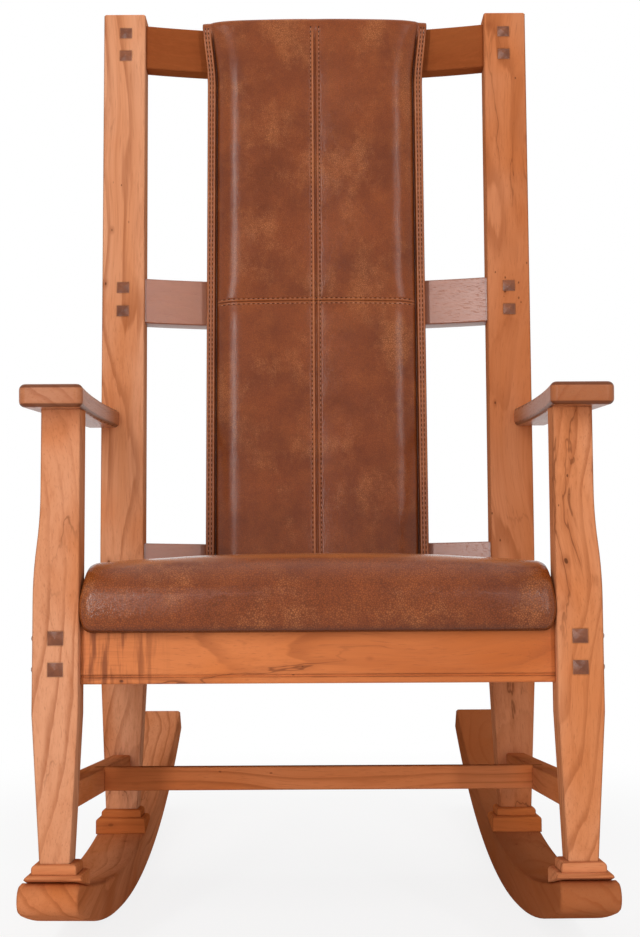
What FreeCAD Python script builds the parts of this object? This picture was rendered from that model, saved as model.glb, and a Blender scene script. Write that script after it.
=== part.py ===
import FreeCAD, Part
import os
import re
import Sketcher
from FreeCAD import Placement, Rotation, Vector

# Rocking chair with a wooden frame, a leather seat cushion and a leather back pad.
# The frame is drawn square, as it stands on the bench: X to the right, Y from the front faces of
# the front legs to the back, Z up. Every finished piece is then leaned back by rest_tilt, which
# is how the chair stands when its rockers come to rest on the floor.
SIZES = {
    # Rest pose on the floor
    "rest_tilt": 5.0,
    "rest_shift_y": -449.0,
    # Fits between pieces
    "joint_gap": 0.15,
    "soft_gap": 0.3,
    "cope_gap": 0.4,
    "edge_break": 1.8,
    # Overall frame
    "seat_half_width": 257.0,
    "seat_depth": 459.0,
    "seat_rail_top_z": 337.5,
    "arm_line_z": 570.0,
    "post_top_z": 1207.0,
    # Rockers
    "rocker_radius": 1105.0,
    "rocker_width": 65.0,
    "rocker_front_thick": 34.0,
    "rocker_mid_thick": 50.0,
    "rocker_rear_thick": 36.0,
    "rocker_front_reach": 23.0,
    "rocker_rear_reach": 392.0,
    "rocker_front_drop": 59.7,
    "rocker_rear_drop": 77.5,
    "rocker_front_shift": 4.3,
    "rocker_rear_shift": -0.6,
    "rocker_break": 2.8,
    # Moulded feet between legs and rockers
    "front_foot_lap": 7.5,
    "foot_lap": 5.0,
    "foot_step": 6.8,
    "foot_upper_height": 11.0,
    "foot_round": 5.0,
    "foot_blank_height": 50.0,
    # Front legs
    "leg_depth": 40.0,
    "leg_width": 50.4,
    "leg_top_width": 43.0,
    "leg_foot_width": 33.0,
    "leg_foot_inset": 7.5,
    "leg_foot_z": 82.6,
    "leg_taper_drop": 31.5,
    "leg_swell_rise": 24.5,
    "leg_swell_drop": 90.0,
    # Back posts
    "post_depth": 40.0,
    "post_width": 59.0,
    "post_inset": 20.5,
    "post_splay": 5.5,
    "post_foot_width": 43.0,
    "post_foot_inset": 10.5,
    "post_foot_z": 86.5,
    "post_taper_drop": 9.5,
    "post_bend_rise": 62.5,
    "post_bend_reach": 60.0,
    "post_kick": 5.0,
    "post_recline": 3.0,
    # Arms
    "arm_rise": 4.55,
    "arm_thick": 25.0,
    "arm_overhang": 38.0,
    "arm_outer_lap": 11.1,
    "arm_inner_lap": 7.0,
    "arm_post_lap": 22.5,
    "arm_inner_bow": 5.8,
    "arm_corner": 9.0,
    "arm_round": 6.5,
    # Seat frame
    "seat_rail_height": 66.0,
    "seat_rail_thick": 24.0,
    "front_rail_setback": 13.0,
    "front_rail_groove_rise": 8.5,
    "front_rail_groove": 3.0,
    "front_rail_groove_depth": 1.4,
    "front_rail_bead": 2.1,
    "rear_rail_setback": 8.0,
    # Tenons and dowels
    "tenon_thick": 10.0,
    "tenon_length": 20.0,
    "side_tenon_length": 12.0,
    "tenon_shoulder": 10.0,
    "foot_dowel_radius": 8.0,
    "foot_dowel_depth": 30.0,
    "rocker_dowel_depth": 18.0,
    "arm_dowel_radius": 6.0,
    "arm_dowel_depth": 14.0,
    # Lower stretchers
    "stretcher_width": 25.0,
    "stretcher_height": 30.0,
    "stretcher_front_rise": 84.8,
    "stretcher_rear_rise": 72.7,
    "stretcher_inset": 6.0,
    "stretcher_shoulder": 7.0,
    "cross_y": 236.0,
    "cross_thick": 20.0,
    "cross_height": 28.0,
    # Bowed back rails
    "back_rail_height": 64.0,
    "back_rail_thick": 26.0,
    "back_rail_setback": 4.0,
    "back_rail_bow": 34.0,
    "lower_rail_rise": 79.0,
    "top_rail_drop": 44.0,
    # Square pegs with pyramid heads
    "peg_width": 16.5,
    "peg_height": 14.8,
    "peg_spacing": 33.5,
    "peg_depth": 11.0,
    "peg_head": 4.0,
    "peg_tip": 2.0,
    "post_peg_inset": 33.0,
    # Corner blocks and seat board
    "block_height": 34.0,
    "block_reach": 63.0,
    "block_land": 20.0,
    "board_thick": 15.0,
    "board_setback": 4.0,
    "board_side_gap": 6.5,
    # Leather seat cushion over foam
    "leather": 2.0,
    "cushion_side_gap": 2.0,
    "cushion_overhang": 8.0,
    "cushion_rear_gap": 19.0,
    "cushion_lip": 12.5,
    "cushion_rise": 76.5,
    "cushion_crown": 13.0,
    "cushion_front_roll": 46.0,
    "cushion_rear_roll": 28.0,
    "cushion_side_draw": 4.0,
    "cushion_side_bulge": 12.0,
    "cushion_mid_fall": 4.0,
    "cushion_rear_fall": 8.0,
    # Leather back pad over foam, with its hood over the top rail
    "pad_half_width": 153.0,
    "pad_floor_gap": 4.0,
    "pad_back_gap": 0.6,
    "pad_slot_gap": 0.9,
    "pad_top_rise": 8.0,
    "pad_top_crown": 9.0,
    "pad_top_apex": 40.0,
    "pad_top_run": 60.0,
    "pad_top_fall": 3.0,
    "pad_flange": 14.0,
    "pad_flange_d": 6.0,
    "pad_bulge": 11.0,
    "pad_hollow": 9.0,
    "pad_crease": 5.0,
    "pad_shoulder": 26.0,
    "pad_shoulder_in": 8.0,
    "pad_shoulder_share": 0.75,
    "pad_channel": 3.0,
    "pad_channel_half": 5.0,
    "pad_seam_band": 24.0,
    "pad_seam_fullness": 0.75,
    "pad_hood_fullness": 0.8,
    "pad_top_fullness": 0.45,
    "hood_half_width": 161.0,
    "hood_overlap": 1.2,
    "hood_flap": 3.0,
    "hood_hem": 8.0,
}

# Places that follow from the sizes, so that neighbours share them
PLACES = {
    "leg_outer_x": "seat_half_width + leg_width",
    "leg_mid_x": "seat_half_width + leg_width / 2",
    "leg_top_x": "seat_half_width + leg_top_width",
    "leg_swell": "leg_outer_x - leg_top_x",
    "leg_foot_inner_x": "seat_half_width + leg_foot_inset",
    "leg_foot_outer_x": "leg_foot_inner_x + leg_foot_width",
    "rail_low_z": "seat_rail_top_z - seat_rail_height",
    "rail_mid_z": "seat_rail_top_z - seat_rail_height / 2",
    "tenon_low_z": "rail_low_z + tenon_shoulder",
    "tenon_high_z": "seat_rail_top_z - tenon_shoulder",
    "leg_taper_z": "rail_low_z - leg_taper_drop",
    "leg_swell_low_z": "seat_rail_top_z + leg_swell_rise",
    "leg_swell_high_z": "arm_line_z - leg_swell_drop",
    "leg_swell_mid_z": "(leg_swell_low_z + leg_swell_high_z) / 2",
    "post_inner_x": "seat_half_width - post_inset",
    "post_outer_x": "post_inner_x + post_width",
    "post_mid_x": "post_inner_x + post_width / 2",
    "post_foot_inner_x": "post_inner_x + post_foot_inset",
    "post_foot_outer_x": "post_foot_inner_x + post_foot_width",
    "post_taper_z": "rail_low_z - post_taper_drop",
    "post_bend_z": "seat_rail_top_z + post_bend_rise",
    "kick_slope": "tan(post_kick * 1deg)",
    "recline_slope": "tan(post_recline * 1deg)",
    "post_bend_ease": "post_bend_reach * tan((post_kick + post_recline) / 4 * 1deg)",
    "post_foot_y": "seat_depth + (post_bend_z - post_foot_z) * kick_slope",
    "post_top_y": "seat_depth + (post_top_z - post_bend_z) * recline_slope",
    "rear_face_y": "seat_depth + (post_bend_z - rail_mid_z) * kick_slope",
    "rear_rail_y": "rear_face_y + rear_rail_setback",
    "front_rail_back_y": "front_rail_setback + seat_rail_thick",
    "front_foot_x": "leg_foot_inner_x + leg_foot_width / 2",
    "front_foot_y": "leg_depth / 2",
    "front_foot_half_x": "leg_foot_width / 2 + front_foot_lap",
    "front_foot_half_y": "leg_depth / 2 + foot_lap",
    "rear_foot_x": "post_foot_inner_x + post_foot_width / 2",
    "rear_foot_y": "post_foot_y + post_depth / 2",
    "rear_foot_half_x": "post_foot_width / 2 + foot_lap",
    "rear_foot_half_y": "post_depth / 2 + foot_lap",
    "foot_reach": "2 * (rear_foot_half_x + foot_step)",
    "foot_soft": "foot_round * (1 - cos(45deg))",
    # The rockers' circle passes below both feet
    "line_front_z": "leg_foot_z - rocker_front_drop",
    "line_rear_z": "post_foot_z - rocker_rear_drop",
    "line_run": "rear_foot_y - front_foot_y",
    "line_climb": "line_rear_z - line_front_z",
    "line_chord": "sqrt(line_run^2 + line_climb^2)",
    "line_lift": "sqrt(rocker_radius^2 - line_chord^2 / 4)",
    "rocker_centre_y": "(front_foot_y + rear_foot_y) / 2 - line_lift * line_climb / line_chord",
    "rocker_centre_z": "(line_front_z + line_rear_z) / 2 + line_lift * line_run / line_chord",
    "rocker_front_run": "rocker_centre_y - front_foot_y + rocker_front_reach",
    "rocker_rear_run": "rear_foot_y + rocker_rear_reach - rocker_centre_y",
    "rocker_front_angle": "asin(rocker_front_run / rocker_radius) / 1deg",
    "rocker_rear_angle": "asin(rocker_rear_run / rocker_radius) / 1deg",
    "rocker_mid_angle": "(rocker_rear_angle - rocker_front_angle) / 2",
    "toe_slope": "(front_foot_x + rocker_front_shift - rear_foot_x - rocker_rear_shift) / line_run",
    "rocker_toe_in": "atan(toe_slope) / 1deg",
    "rocker_x": "front_foot_x + rocker_front_shift + front_foot_y * toe_slope",
    "rest_drop": "rocker_centre_z * cos(rest_tilt * 1deg) - rocker_centre_y * sin(rest_tilt * 1deg)",
    "rest_lift": "rocker_radius - rest_drop",
    "arm_outer_x": "leg_outer_x + arm_outer_lap",
    "arm_inner_front_x": "seat_half_width - arm_inner_lap",
    "arm_inner_rear_x": "post_outer_x - arm_post_lap",
    "arm_end_y": "seat_depth + post_depth",
    "arm_corner_cut": "arm_corner * (1 - cos(45deg))",
    "side_front_y": "leg_depth - side_tenon_length",
    "side_rear_y": "rear_face_y + side_tenon_length",
    "run_rear_y": "post_foot_y + side_tenon_length",
    "run_front_x": "front_foot_x - stretcher_inset",
    "run_front_z": "leg_foot_z + stretcher_front_rise",
    "run_rear_z": "post_foot_z + stretcher_rear_rise",
    "cross_share": "(cross_y - side_front_y) / (run_rear_y - side_front_y)",
    "cross_reach": "run_front_x + (rear_foot_x - run_front_x) * cross_share",
    "cross_top_z": "run_front_z + (run_rear_z - run_front_z) * cross_share",
    # Heights up the back are measured from the bend of the posts, along their front faces
    "lower_rail_w": "lower_rail_rise - post_bend_rise",
    "top_rail_w": "post_top_z - top_rail_drop - post_bend_z",
    "middle_rail_w": "(lower_rail_w + top_rail_w) / 2",
    "back_rail_reach": "post_inner_x + post_splay + tenon_length",
    "back_rail_mid": "back_rail_setback + back_rail_thick / 2",
    "back_rail_deep": "back_rail_setback + back_rail_bow",
    "post_peg_x": "post_inner_x + post_peg_inset",
    "board_front_y": "front_rail_setback + board_setback",
    "board_rear_y": "rear_rail_y + seat_rail_thick - board_setback",
    "board_half_width": "post_inner_x - board_side_gap",
    "block_low_z": "seat_rail_top_z - block_height",
    "cushion_half_width": "seat_half_width - cushion_side_gap",
    "cushion_rear_y": "seat_depth - cushion_rear_gap",
    "cushion_low_z": "seat_rail_top_z - cushion_lip",
    "cushion_top_z": "seat_rail_top_z + cushion_rise",
    "cushion_mid_z": "(cushion_low_z + cushion_top_z) / 2",
    "pad_low_w": "board_thick + pad_floor_gap - post_bend_rise",
    "hood_low_w": "top_rail_w - back_rail_height / 2",
    "hood_rail_w": "top_rail_w + back_rail_height / 2",
    "pad_top_w": "hood_rail_w + pad_top_rise",
    "pad_edge_w": "pad_top_w - pad_top_fall",
    "pad_wing_w": "pad_top_w - pad_top_crown",
}

doc = FreeCAD.newDocument("rocking_chair")
sizes = doc.addObject("Spreadsheet::Sheet", "sizes")
names = {**SIZES, **{alias: f"={formula}" for alias, formula in PLACES.items()}}
for row, (alias, value) in enumerate(names.items(), 1):
    sizes.set(f"A{row}", alias)
    sizes.set(f"B{row}", str(value))
    sizes.setAlias(f"B{row}", alias)
doc.recompute()
finished = []


def cells(expression):
    """The expression with the sheet's name put before each size that it names."""
    return re.sub(r"[a-z]\w*", lambda word: ("sizes." if word[0] in names else "") + word[0], str(expression))


def number(expression):
    """The expression's value now."""
    return float(sizes.evalExpression(cells(expression)))


def bind(thing, prop, expression):
    """Ties a property to the sheet."""
    thing.setExpression(prop, cells(expression))


def place(thing, x="0", y="0", z="0", axis=Vector(0, 0, 1), turn=None):
    """Puts a piece at a point that follows the sheet, turned about an axis by an angle in degrees."""
    if turn is not None:
        thing.Placement = Placement(Vector(), Rotation(axis, number(turn)))
        bind(thing, "Placement.Rotation.Angle", turn)
    for letter, expression in zip("xyz", (x, y, z)):
        bind(thing, f"Placement.Base.{letter}", expression)


def rest(thing, label):
    """Leans a finished piece back into the rest pose, standing on the floor, and names it."""
    thing.Label = label
    place(thing, "0", "rest_shift_y", "rest_lift", Vector(-1, 0, 0), "rest_tilt")
    finished.append(thing)


def mirrored(thing, name):
    """The left-hand twin of a right-hand shape."""
    twin = doc.addObject("Part::Mirroring", name)
    twin.Source = thing
    twin.Normal = Vector(1, 0, 0)
    return twin


def pair(thing, label):
    """Finishes a right-hand piece and its left-hand twin."""
    rest(thing, f"{label}_right")
    twin = mirrored(thing, f"{label}_left")
    twin.Label = f"{label}_left"
    finished.append(twin)


def pin(sketch, geometry, end, x, y):
    """Dimensions one point of a sketch from the sketch's origin."""
    for kind, expression in (("DistanceX", x), ("DistanceY", y)):
        index = sketch.addConstraint(Sketcher.Constraint(kind, -1, 1, geometry, end, number(expression)))
        bind(sketch, f"Constraints[{index}]", expression)


def outline(sketch, corners):
    """Draws a closed outline. A corner is (x, y), or (x, y, via_x, via_y) where an arc leaves it."""
    points = [Vector(number(c[0]), number(c[1]), 0) for c in corners]
    first = sketch.GeometryCount
    count = len(corners)
    for i, corner in enumerate(corners):
        start, stop = points[i], points[(i + 1) % count]
        if len(corner) == 4:
            via = Vector(number(corner[2]), number(corner[3]), 0)
            sketch.addGeometry(Part.Arc(start, via, stop))
        else:
            sketch.addGeometry(Part.LineSegment(start, stop))
    ends = []
    for i in range(count):
        near = sketch.getPoint(first + i, 1).distanceToPoint(points[i])
        far = sketch.getPoint(first + i, 2).distanceToPoint(points[i])
        ends.append((1, 2) if near < far else (2, 1))
    for i in range(count):
        after = (i + 1) % count
        link = ("Coincident", first + i, ends[i][1], first + after, ends[after][0])
        sketch.addConstraint(Sketcher.Constraint(*link))
    for i, corner in enumerate(corners):
        pin(sketch, first + i, ends[i][0], corner[0], corner[1])
    for i, corner in enumerate(corners):
        if len(corner) == 4:
            mark = sketch.addGeometry(Part.Point(Vector(number(corner[2]), number(corner[3]), 0)), True)
            sketch.addConstraint(Sketcher.Constraint("PointOnObject", mark, 1, first + i))
            pin(sketch, mark, 1, corner[2], corner[3])


def rectangle(low, high):
    """The four corners between two opposite ones."""
    return [(low[0], low[1]), (high[0], low[1]), (high[0], high[1]), (low[0], high[1])]


def sketch_on(body, plane, offset="0"):
    """A sketch on one of the body's own origin planes, moved along the plane's normal."""
    sketch = body.newObject("Sketcher::SketchObject", f"{body.Name}_sketch")
    role = [f for f in body.Origin.OriginFeatures if f.Role == plane][0]
    sketch.AttachmentSupport = [(role, "")]
    sketch.MapMode = "FlatFace"
    bind(sketch, "AttachmentOffset.Base.z", offset)
    return sketch


def padded(name, plane, corners, low, high):
    """A body made by extruding an outline from low to high, measured along the plane's axis."""
    body = doc.addObject("PartDesign::Body", name)
    backward = plane == "XZ_Plane"
    sketch = sketch_on(body, plane, f"-({high})" if backward else low)
    outline(sketch, corners)
    pad = body.newObject("PartDesign::Pad", f"{name}_pad")
    pad.Profile = sketch
    bind(pad, "Length", f"({high}) - ({low})")
    doc.recompute()
    return body


def trimmed(body, plane, corners):
    """Trims a body to an outline seen along another axis."""
    before = body.Shape.Volume
    reach = "post_top_z * 2"
    sketch = sketch_on(body, plane)
    outline(sketch, rectangle((f"-{reach}", f"-{reach}"), (reach, reach)))
    outline(sketch, corners)
    pocket = body.newObject("PartDesign::Pocket", f"{body.Name}_trim")
    pocket.Profile = sketch
    pocket.Type = "ThroughAll"
    pocket.SideType = "Symmetric"
    doc.recompute()
    if not body.Shape.Volume < before:
        raise RuntimeError(f"{body.Name} was not trimmed")


def eased(body, kind, size, chosen):
    """Rounds or breaks the edges of a body that the test chooses: kind is Fillet or Chamfer."""
    base = body.Tip
    edges = [f"Edge{i}" for i, edge in enumerate(base.Shape.Edges, 1) if chosen(edge)]
    dressing = body.newObject(f"PartDesign::{kind}", f"{body.Name}_ease")
    dressing.Base = (base, edges)
    bind(dressing, "Radius" if kind == "Fillet" else "Size", size)
    doc.recompute()


def runs_along(axis, length):
    """Chooses the edges that stretch further than length along an axis."""
    return lambda edge: getattr(edge.BoundBox, f"{axis}Length") > number(length)


def box(name, low, high):
    """A box between two corners that follow the sheet."""
    thing = doc.addObject("Part::Box", name)
    for prop, a, b in zip(("Length", "Width", "Height"), low, high):
        bind(thing, prop, f"({b}) - ({a})")
    place(thing, *low)
    return thing


def rod(name, radius, length, x, y, z, axis=Vector(0, 0, 1), turn=None):
    """A round rod from a point, along Z or turned from it."""
    thing = doc.addObject("Part::Cylinder", name)
    bind(thing, "Radius", radius)
    bind(thing, "Height", length)
    place(thing, x, y, z, axis, turn)
    return thing


def group(name, things):
    """Several shapes as one."""
    thing = doc.addObject("Part::Compound", name)
    thing.Links = things
    return thing


def fused(name, things):
    """Several shapes joined into one."""
    thing = doc.addObject("Part::MultiFuse", name)
    thing.Shapes = things
    return thing


def cut(name, base, *tools):
    """The base with every tool cut away."""
    thing = doc.addObject("Part::Cut", name)
    thing.Base = base
    thing.Tool = tools[0] if len(tools) == 1 else fused(f"{name}_tools", list(tools))
    return thing


def lean(thing):
    """Stands a shape drawn against the upright back on the reclined front faces of the posts."""
    place(thing, "0", "seat_depth", "post_bend_z", Vector(-1, 0, 0), "post_recline")
    return thing


def tenon(name, low, high):
    """A tenon between two corners, and the mortise that it fits into."""
    mortise_low = [f"({a}) - joint_gap" for a in low]
    mortise_high = [f"({b}) + joint_gap" for b in high]
    return box(f"{name}_tenon", low, high), box(f"{name}_mortise", mortise_low, mortise_high)


def shouldered(name, blank, joints):
    """A rail cut to its shoulders: each joint is the piece it enters and the tenon left there."""
    return cut(name, blank, *[cut(f"{name}_cheek_{i}", into, left) for i, (into, left) in enumerate(joints)])


def spanning(name, blank, into, left):
    """A rail cut to its shoulders at both ends, between a piece and its left-hand twin."""
    cheek = cut(f"{name}_cheek", into, left)
    return cut(name, blank, cheek, mirrored(cheek, f"{name}_cheek_left"))


# Rockers: sawn to an arc, thinner at the ends, with a half-round nose at the front
def on_arc(inset, angle, ahead="0"):
    """A point inset from the rocker's floor line, at an angle back from straight down, then moved ahead."""
    turn = f"(({angle}) * 1deg)"
    y = f"rocker_centre_y + (rocker_radius - {inset}) * sin{turn} - {ahead} * cos{turn}"
    return y, f"rocker_centre_z - (rocker_radius - {inset}) * cos{turn} - {ahead} * sin{turn}"


def top_line(clear):
    """The rocker's top edge from the rear to the front, raised by a clearance."""
    rear = on_arc(f"(rocker_rear_thick + {clear})", "rocker_rear_angle")
    middle = on_arc(f"(rocker_mid_thick + {clear})", "rocker_mid_angle")
    return [(*rear, *middle), on_arc(f"(rocker_front_thick + {clear})", "-rocker_front_angle")]


top_rear, top_front = top_line("0")
nose = on_arc("rocker_front_thick / 2", "-rocker_front_angle", "rocker_front_thick / 2")
rocker_outline = [
    (*on_arc("0", "-rocker_front_angle"), *on_arc("0", "rocker_mid_angle")),
    on_arc("0", "rocker_rear_angle"), top_rear, (*top_front, *nose),
]
rocker = padded("rocker", "YZ_Plane", rocker_outline, "-rocker_width / 2", "rocker_width / 2")
eased(rocker, "Chamfer", "rocker_break", runs_along("Y", "rocker_rear_reach / 2"))
bed_rear, bed_front = top_line("cope_gap")
bed_ahead = on_arc("(rocker_front_thick + cope_gap)", "-rocker_front_angle", "foot_reach")
bed_outline = [
    bed_rear, bed_front, bed_ahead, (bed_ahead[0], "-foot_blank_height"), (bed_rear[0], "-foot_blank_height"),
]
rocker_bed = padded("rocker_bed", "YZ_Plane", bed_outline, "-foot_reach", "foot_reach")
for thing in (rocker, rocker_bed):
    place(thing, "rocker_x", "0", "0", Vector(0, 0, 1), "rocker_toe_in")

# Front legs: straight inside, swelling outwards below the arm and tapering to the foot
swell_low_mid = "(leg_swell_low_z + leg_swell_mid_z) / 2"
swell_high_mid = "(leg_swell_high_z + leg_swell_mid_z) / 2"
leg_outline = [
    ("leg_foot_inner_x", "leg_foot_z"),
    ("leg_foot_outer_x", "leg_foot_z"),
    ("leg_outer_x", "leg_taper_z"),
    ("leg_outer_x", "leg_swell_low_z", "leg_outer_x - leg_swell / 8", swell_low_mid),
    ("leg_outer_x - leg_swell / 2", "leg_swell_mid_z", "leg_top_x + leg_swell / 8", swell_high_mid),
    ("leg_top_x", "leg_swell_high_z"),
    ("leg_top_x", "arm_line_z + arm_thick"),
    ("seat_half_width", "arm_line_z + arm_thick"),
    ("seat_half_width", "leg_taper_z"),
]
leg = padded("leg", "XZ_Plane", leg_outline, "0", "leg_depth")
eased(leg, "Chamfer", "edge_break", runs_along("Z", "leg_depth / 2"))

# Back posts: kicked back below the seat, reclined above it, splayed outwards to the top
low_y = "seat_depth + post_bend_reach * kick_slope"
high_y = "seat_depth + post_bend_reach * recline_slope"
low_z = "post_bend_z - post_bend_reach"
high_z = "post_bend_z + post_bend_reach"
post_side = [
    ("post_foot_y", "post_foot_z"),
    ("post_foot_y + post_depth", "post_foot_z"),
    (f"{low_y} + post_depth", low_z, "seat_depth + post_bend_ease + post_depth", "post_bend_z"),
    (f"{high_y} + post_depth", high_z),
    ("post_top_y + post_depth", "post_top_z"),
    ("post_top_y", "post_top_z"),
    (high_y, high_z, "seat_depth + post_bend_ease", "post_bend_z"),
    (low_y, low_z),
]
post_face = [
    ("post_foot_inner_x", "post_foot_z"),
    ("post_foot_outer_x", "post_foot_z"),
    ("post_outer_x", "post_taper_z"),
    ("post_outer_x + post_splay", "post_top_z"),
    ("post_inner_x + post_splay", "post_top_z"),
    ("post_inner_x", "post_taper_z"),
]
post_wide = padded("post_wide", "YZ_Plane", post_side, "0", "arm_outer_x + post_depth")
post = padded("post", "YZ_Plane", post_side, "0", "arm_outer_x + post_depth")
trimmed(post, "XZ_Plane", post_face)
eased(post, "Chamfer", "edge_break", runs_along("Z", "post_bend_reach"))
eased(post, "Chamfer", "edge_break", lambda edge: edge.BoundBox.ZMin > number("post_top_z - edge_break / 2"))


# Feet: two rounded steps, worked alike on all four sides and coped to the rocker
def moulding(centre, upper, top):
    """Outline of the foot seen from one side, about a centre: upper is half the width of its upper step."""
    right, left = f"{centre} + {upper}", f"{centre} - {upper}"
    far_right, far_left = f"{right} + foot_step", f"{left} - foot_step"
    step = f"({top} - foot_upper_height)"
    low = f"{top} - foot_blank_height"
    return [
        (far_right, low),
        (far_right, f"{step} - foot_round", f"{far_right} - foot_soft", f"{step} - foot_soft"),
        (f"{far_right} - foot_round", step),
        (right, step),
        (right, f"{top} - foot_round", f"{right} - foot_soft", f"{top} - foot_soft"),
        (f"{right} - foot_round", top),
        (f"{left} + foot_round", top, f"{left} + foot_soft", f"{top} - foot_soft"),
        (left, f"{top} - foot_round"),
        (left, step),
        (f"{far_left} + foot_round", step, f"{far_left} + foot_soft", f"{step} - foot_soft"),
        (far_left, f"{step} - foot_round"),
        (far_left, low),
    ]


foot_bores = {}
foot_dowels = []
for end, leg_end in (("front", "leg_foot_z"), ("rear", "post_foot_z")):
    x, y = f"{end}_foot_x", f"{end}_foot_y"
    half_x, half_y = f"{end}_foot_half_x", f"{end}_foot_half_y"
    front_y, back_y = f"{y} - {half_y} - foot_step", f"{y} + {half_y} + foot_step"
    foot = padded(f"{end}_foot", "XZ_Plane", moulding(x, half_x, leg_end), front_y, back_y)
    trimmed(foot, "YZ_Plane", moulding(y, half_y, leg_end))
    low = f"(line_{end}_z + rocker_front_thick - rocker_dowel_depth)"
    high = f"({leg_end} + foot_dowel_depth)"
    foot_dowels.append(rod(f"{end}_foot_dowel", "foot_dowel_radius", f"{high} - {low}", x, y, low))
    foot_bores[end] = rod(
        f"{end}_foot_bore", "foot_dowel_radius + joint_gap", f"{high} - {low} + 2 * joint_gap",
        x, y, f"{low} - joint_gap",
    )
    pair(cut(f"{end}_foot_coped", foot, rocker_bed, foot_bores[end]), f"{end}_foot")
pair(cut("rocker_bored", rocker, foot_bores["front"], foot_bores["rear"]), "rocker")
right_dowels = group("right_foot_dowels", foot_dowels)
rest(group("foot_dowel_set", [right_dowels, mirrored(right_dowels, "left_foot_dowels")]), "foot_dowels")

# Seat frame: four rails tenoned into legs and posts at one height
groove_z = "(rail_low_z + front_rail_groove_rise)"
bead_soft = "front_rail_bead * (1 - cos(45deg))"
front_rail = padded(
    "front_rail", "YZ_Plane",
    [("front_rail_setback + front_rail_bead", "rail_low_z"),
     ("front_rail_back_y", "rail_low_z"),
     ("front_rail_back_y", "seat_rail_top_z"),
     ("front_rail_setback", "seat_rail_top_z"),
     ("front_rail_setback", f"{groove_z} + front_rail_groove / 2",
      "front_rail_setback + front_rail_groove_depth", groove_z),
     ("front_rail_setback", f"{groove_z} - front_rail_groove / 2"),
     ("front_rail_setback", "rail_low_z + front_rail_bead",
      f"front_rail_setback + {bead_soft}", f"rail_low_z + {bead_soft}")],
    "-(seat_half_width + tenon_length)", "seat_half_width + tenon_length",
)
front_tenon_y = "(front_rail_setback + (seat_rail_thick - tenon_thick) / 2)"
front_tenon, front_mortise = tenon(
    "front_rail",
    ("seat_half_width / 2", front_tenon_y, "tenon_low_z"),
    ("seat_half_width + tenon_length", f"{front_tenon_y} + tenon_thick", "tenon_high_z"),
)
rest(spanning("front_rail_cut", front_rail, leg, front_tenon), "front_seat_rail")

rear_rail = padded(
    "rear_rail", "YZ_Plane",
    rectangle(("rear_rail_y", "rail_low_z"), ("rear_rail_y + seat_rail_thick", "seat_rail_top_z")),
    "-(post_inner_x + tenon_length)", "post_inner_x + tenon_length",
)
rear_tenon_y = "(rear_rail_y + (seat_rail_thick - tenon_thick) / 2)"
rear_tenon, rear_mortise = tenon(
    "rear_rail",
    ("post_inner_x / 2", rear_tenon_y, "tenon_low_z"),
    ("post_inner_x + tenon_length", f"{rear_tenon_y} + tenon_thick", "tenon_high_z"),
)
rest(spanning("rear_rail_cut", rear_rail, post, rear_tenon), "rear_seat_rail")


def run(front_x, rear_x, width, front_y, rear_y):
    """Plan of a rail that runs from a leg to a post, a little askew."""
    return [
        (f"{front_x} - {width} / 2", front_y), (f"{front_x} + {width} / 2", front_y),
        (f"{rear_x} + {width} / 2", rear_y), (f"{rear_x} - {width} / 2", rear_y),
    ]


side_rail = padded(
    "side_rail", "XY_Plane", run("leg_mid_x", "post_mid_x", "seat_rail_thick", "side_front_y", "side_rear_y"),
    "rail_low_z", "seat_rail_top_z",
)
side_front_tenon, side_front_mortise = tenon(
    "side_rail_front",
    ("leg_mid_x", "side_front_y", "tenon_low_z"),
    ("leg_mid_x + tenon_thick", "leg_depth * 2", "tenon_high_z"),
)
side_rear_tenon, side_rear_mortise = tenon(
    "side_rail_rear",
    ("post_mid_x - tenon_thick / 2", "seat_depth - leg_depth", "tenon_low_z"),
    ("post_mid_x + tenon_thick / 2", "side_rear_y", "tenon_high_z"),
)
side_rail_joints = [(leg, side_front_tenon), (post, side_rear_tenon)]
pair(shouldered("side_rail_cut", side_rail, side_rail_joints), "side_seat_rail")

# Lower stretchers: one along each side, and one across that is tenoned into both
stretcher = padded(
    "side_stretcher", "YZ_Plane",
    [("side_front_y", "run_front_z - stretcher_height"), ("run_rear_y", "run_rear_z - stretcher_height"),
     ("run_rear_y", "run_rear_z"), ("side_front_y", "run_front_z")],
    "0", "arm_outer_x",
)
stretcher_plan = run("run_front_x", "rear_foot_x", "stretcher_width", "side_front_y", "run_rear_y")
trimmed(stretcher, "XY_Plane", stretcher_plan)
eased(stretcher, "Chamfer", "edge_break", runs_along("Y", "cross_y / 2"))
run_front_tenon, run_front_mortise = tenon(
    "stretcher_front",
    ("run_front_x - tenon_thick / 2", "side_front_y", "run_front_z - stretcher_height + stretcher_shoulder"),
    ("run_front_x + tenon_thick / 2", "leg_depth * 2", "run_front_z - stretcher_shoulder"),
)
run_rear_tenon, run_rear_mortise = tenon(
    "stretcher_rear",
    ("rear_foot_x - tenon_thick / 2", "seat_depth - leg_depth",
     "run_rear_z - stretcher_height + stretcher_shoulder"),
    ("rear_foot_x + tenon_thick / 2", "run_rear_y", "run_rear_z - stretcher_shoulder"),
)
cross = padded(
    "cross", "YZ_Plane",
    rectangle(("cross_y", "cross_top_z - cross_height"), ("cross_y + cross_thick", "cross_top_z")),
    "-cross_reach", "cross_reach",
)
eased(cross, "Chamfer", "edge_break", runs_along("X", "cross_y / 2"))
cross_tenon, cross_mortise = tenon(
    "cross",
    ("cross_reach / 2", "cross_y + (cross_thick - tenon_thick) / 2",
     "cross_top_z - cross_height + stretcher_shoulder"),
    ("cross_reach", "cross_y + (cross_thick + tenon_thick) / 2", "cross_top_z - stretcher_shoulder"),
)
rest(spanning("cross_cut", cross, stretcher, cross_tenon), "cross_stretcher")
stretcher_bored = cut("side_stretcher_bored", stretcher, cross_mortise)
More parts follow.
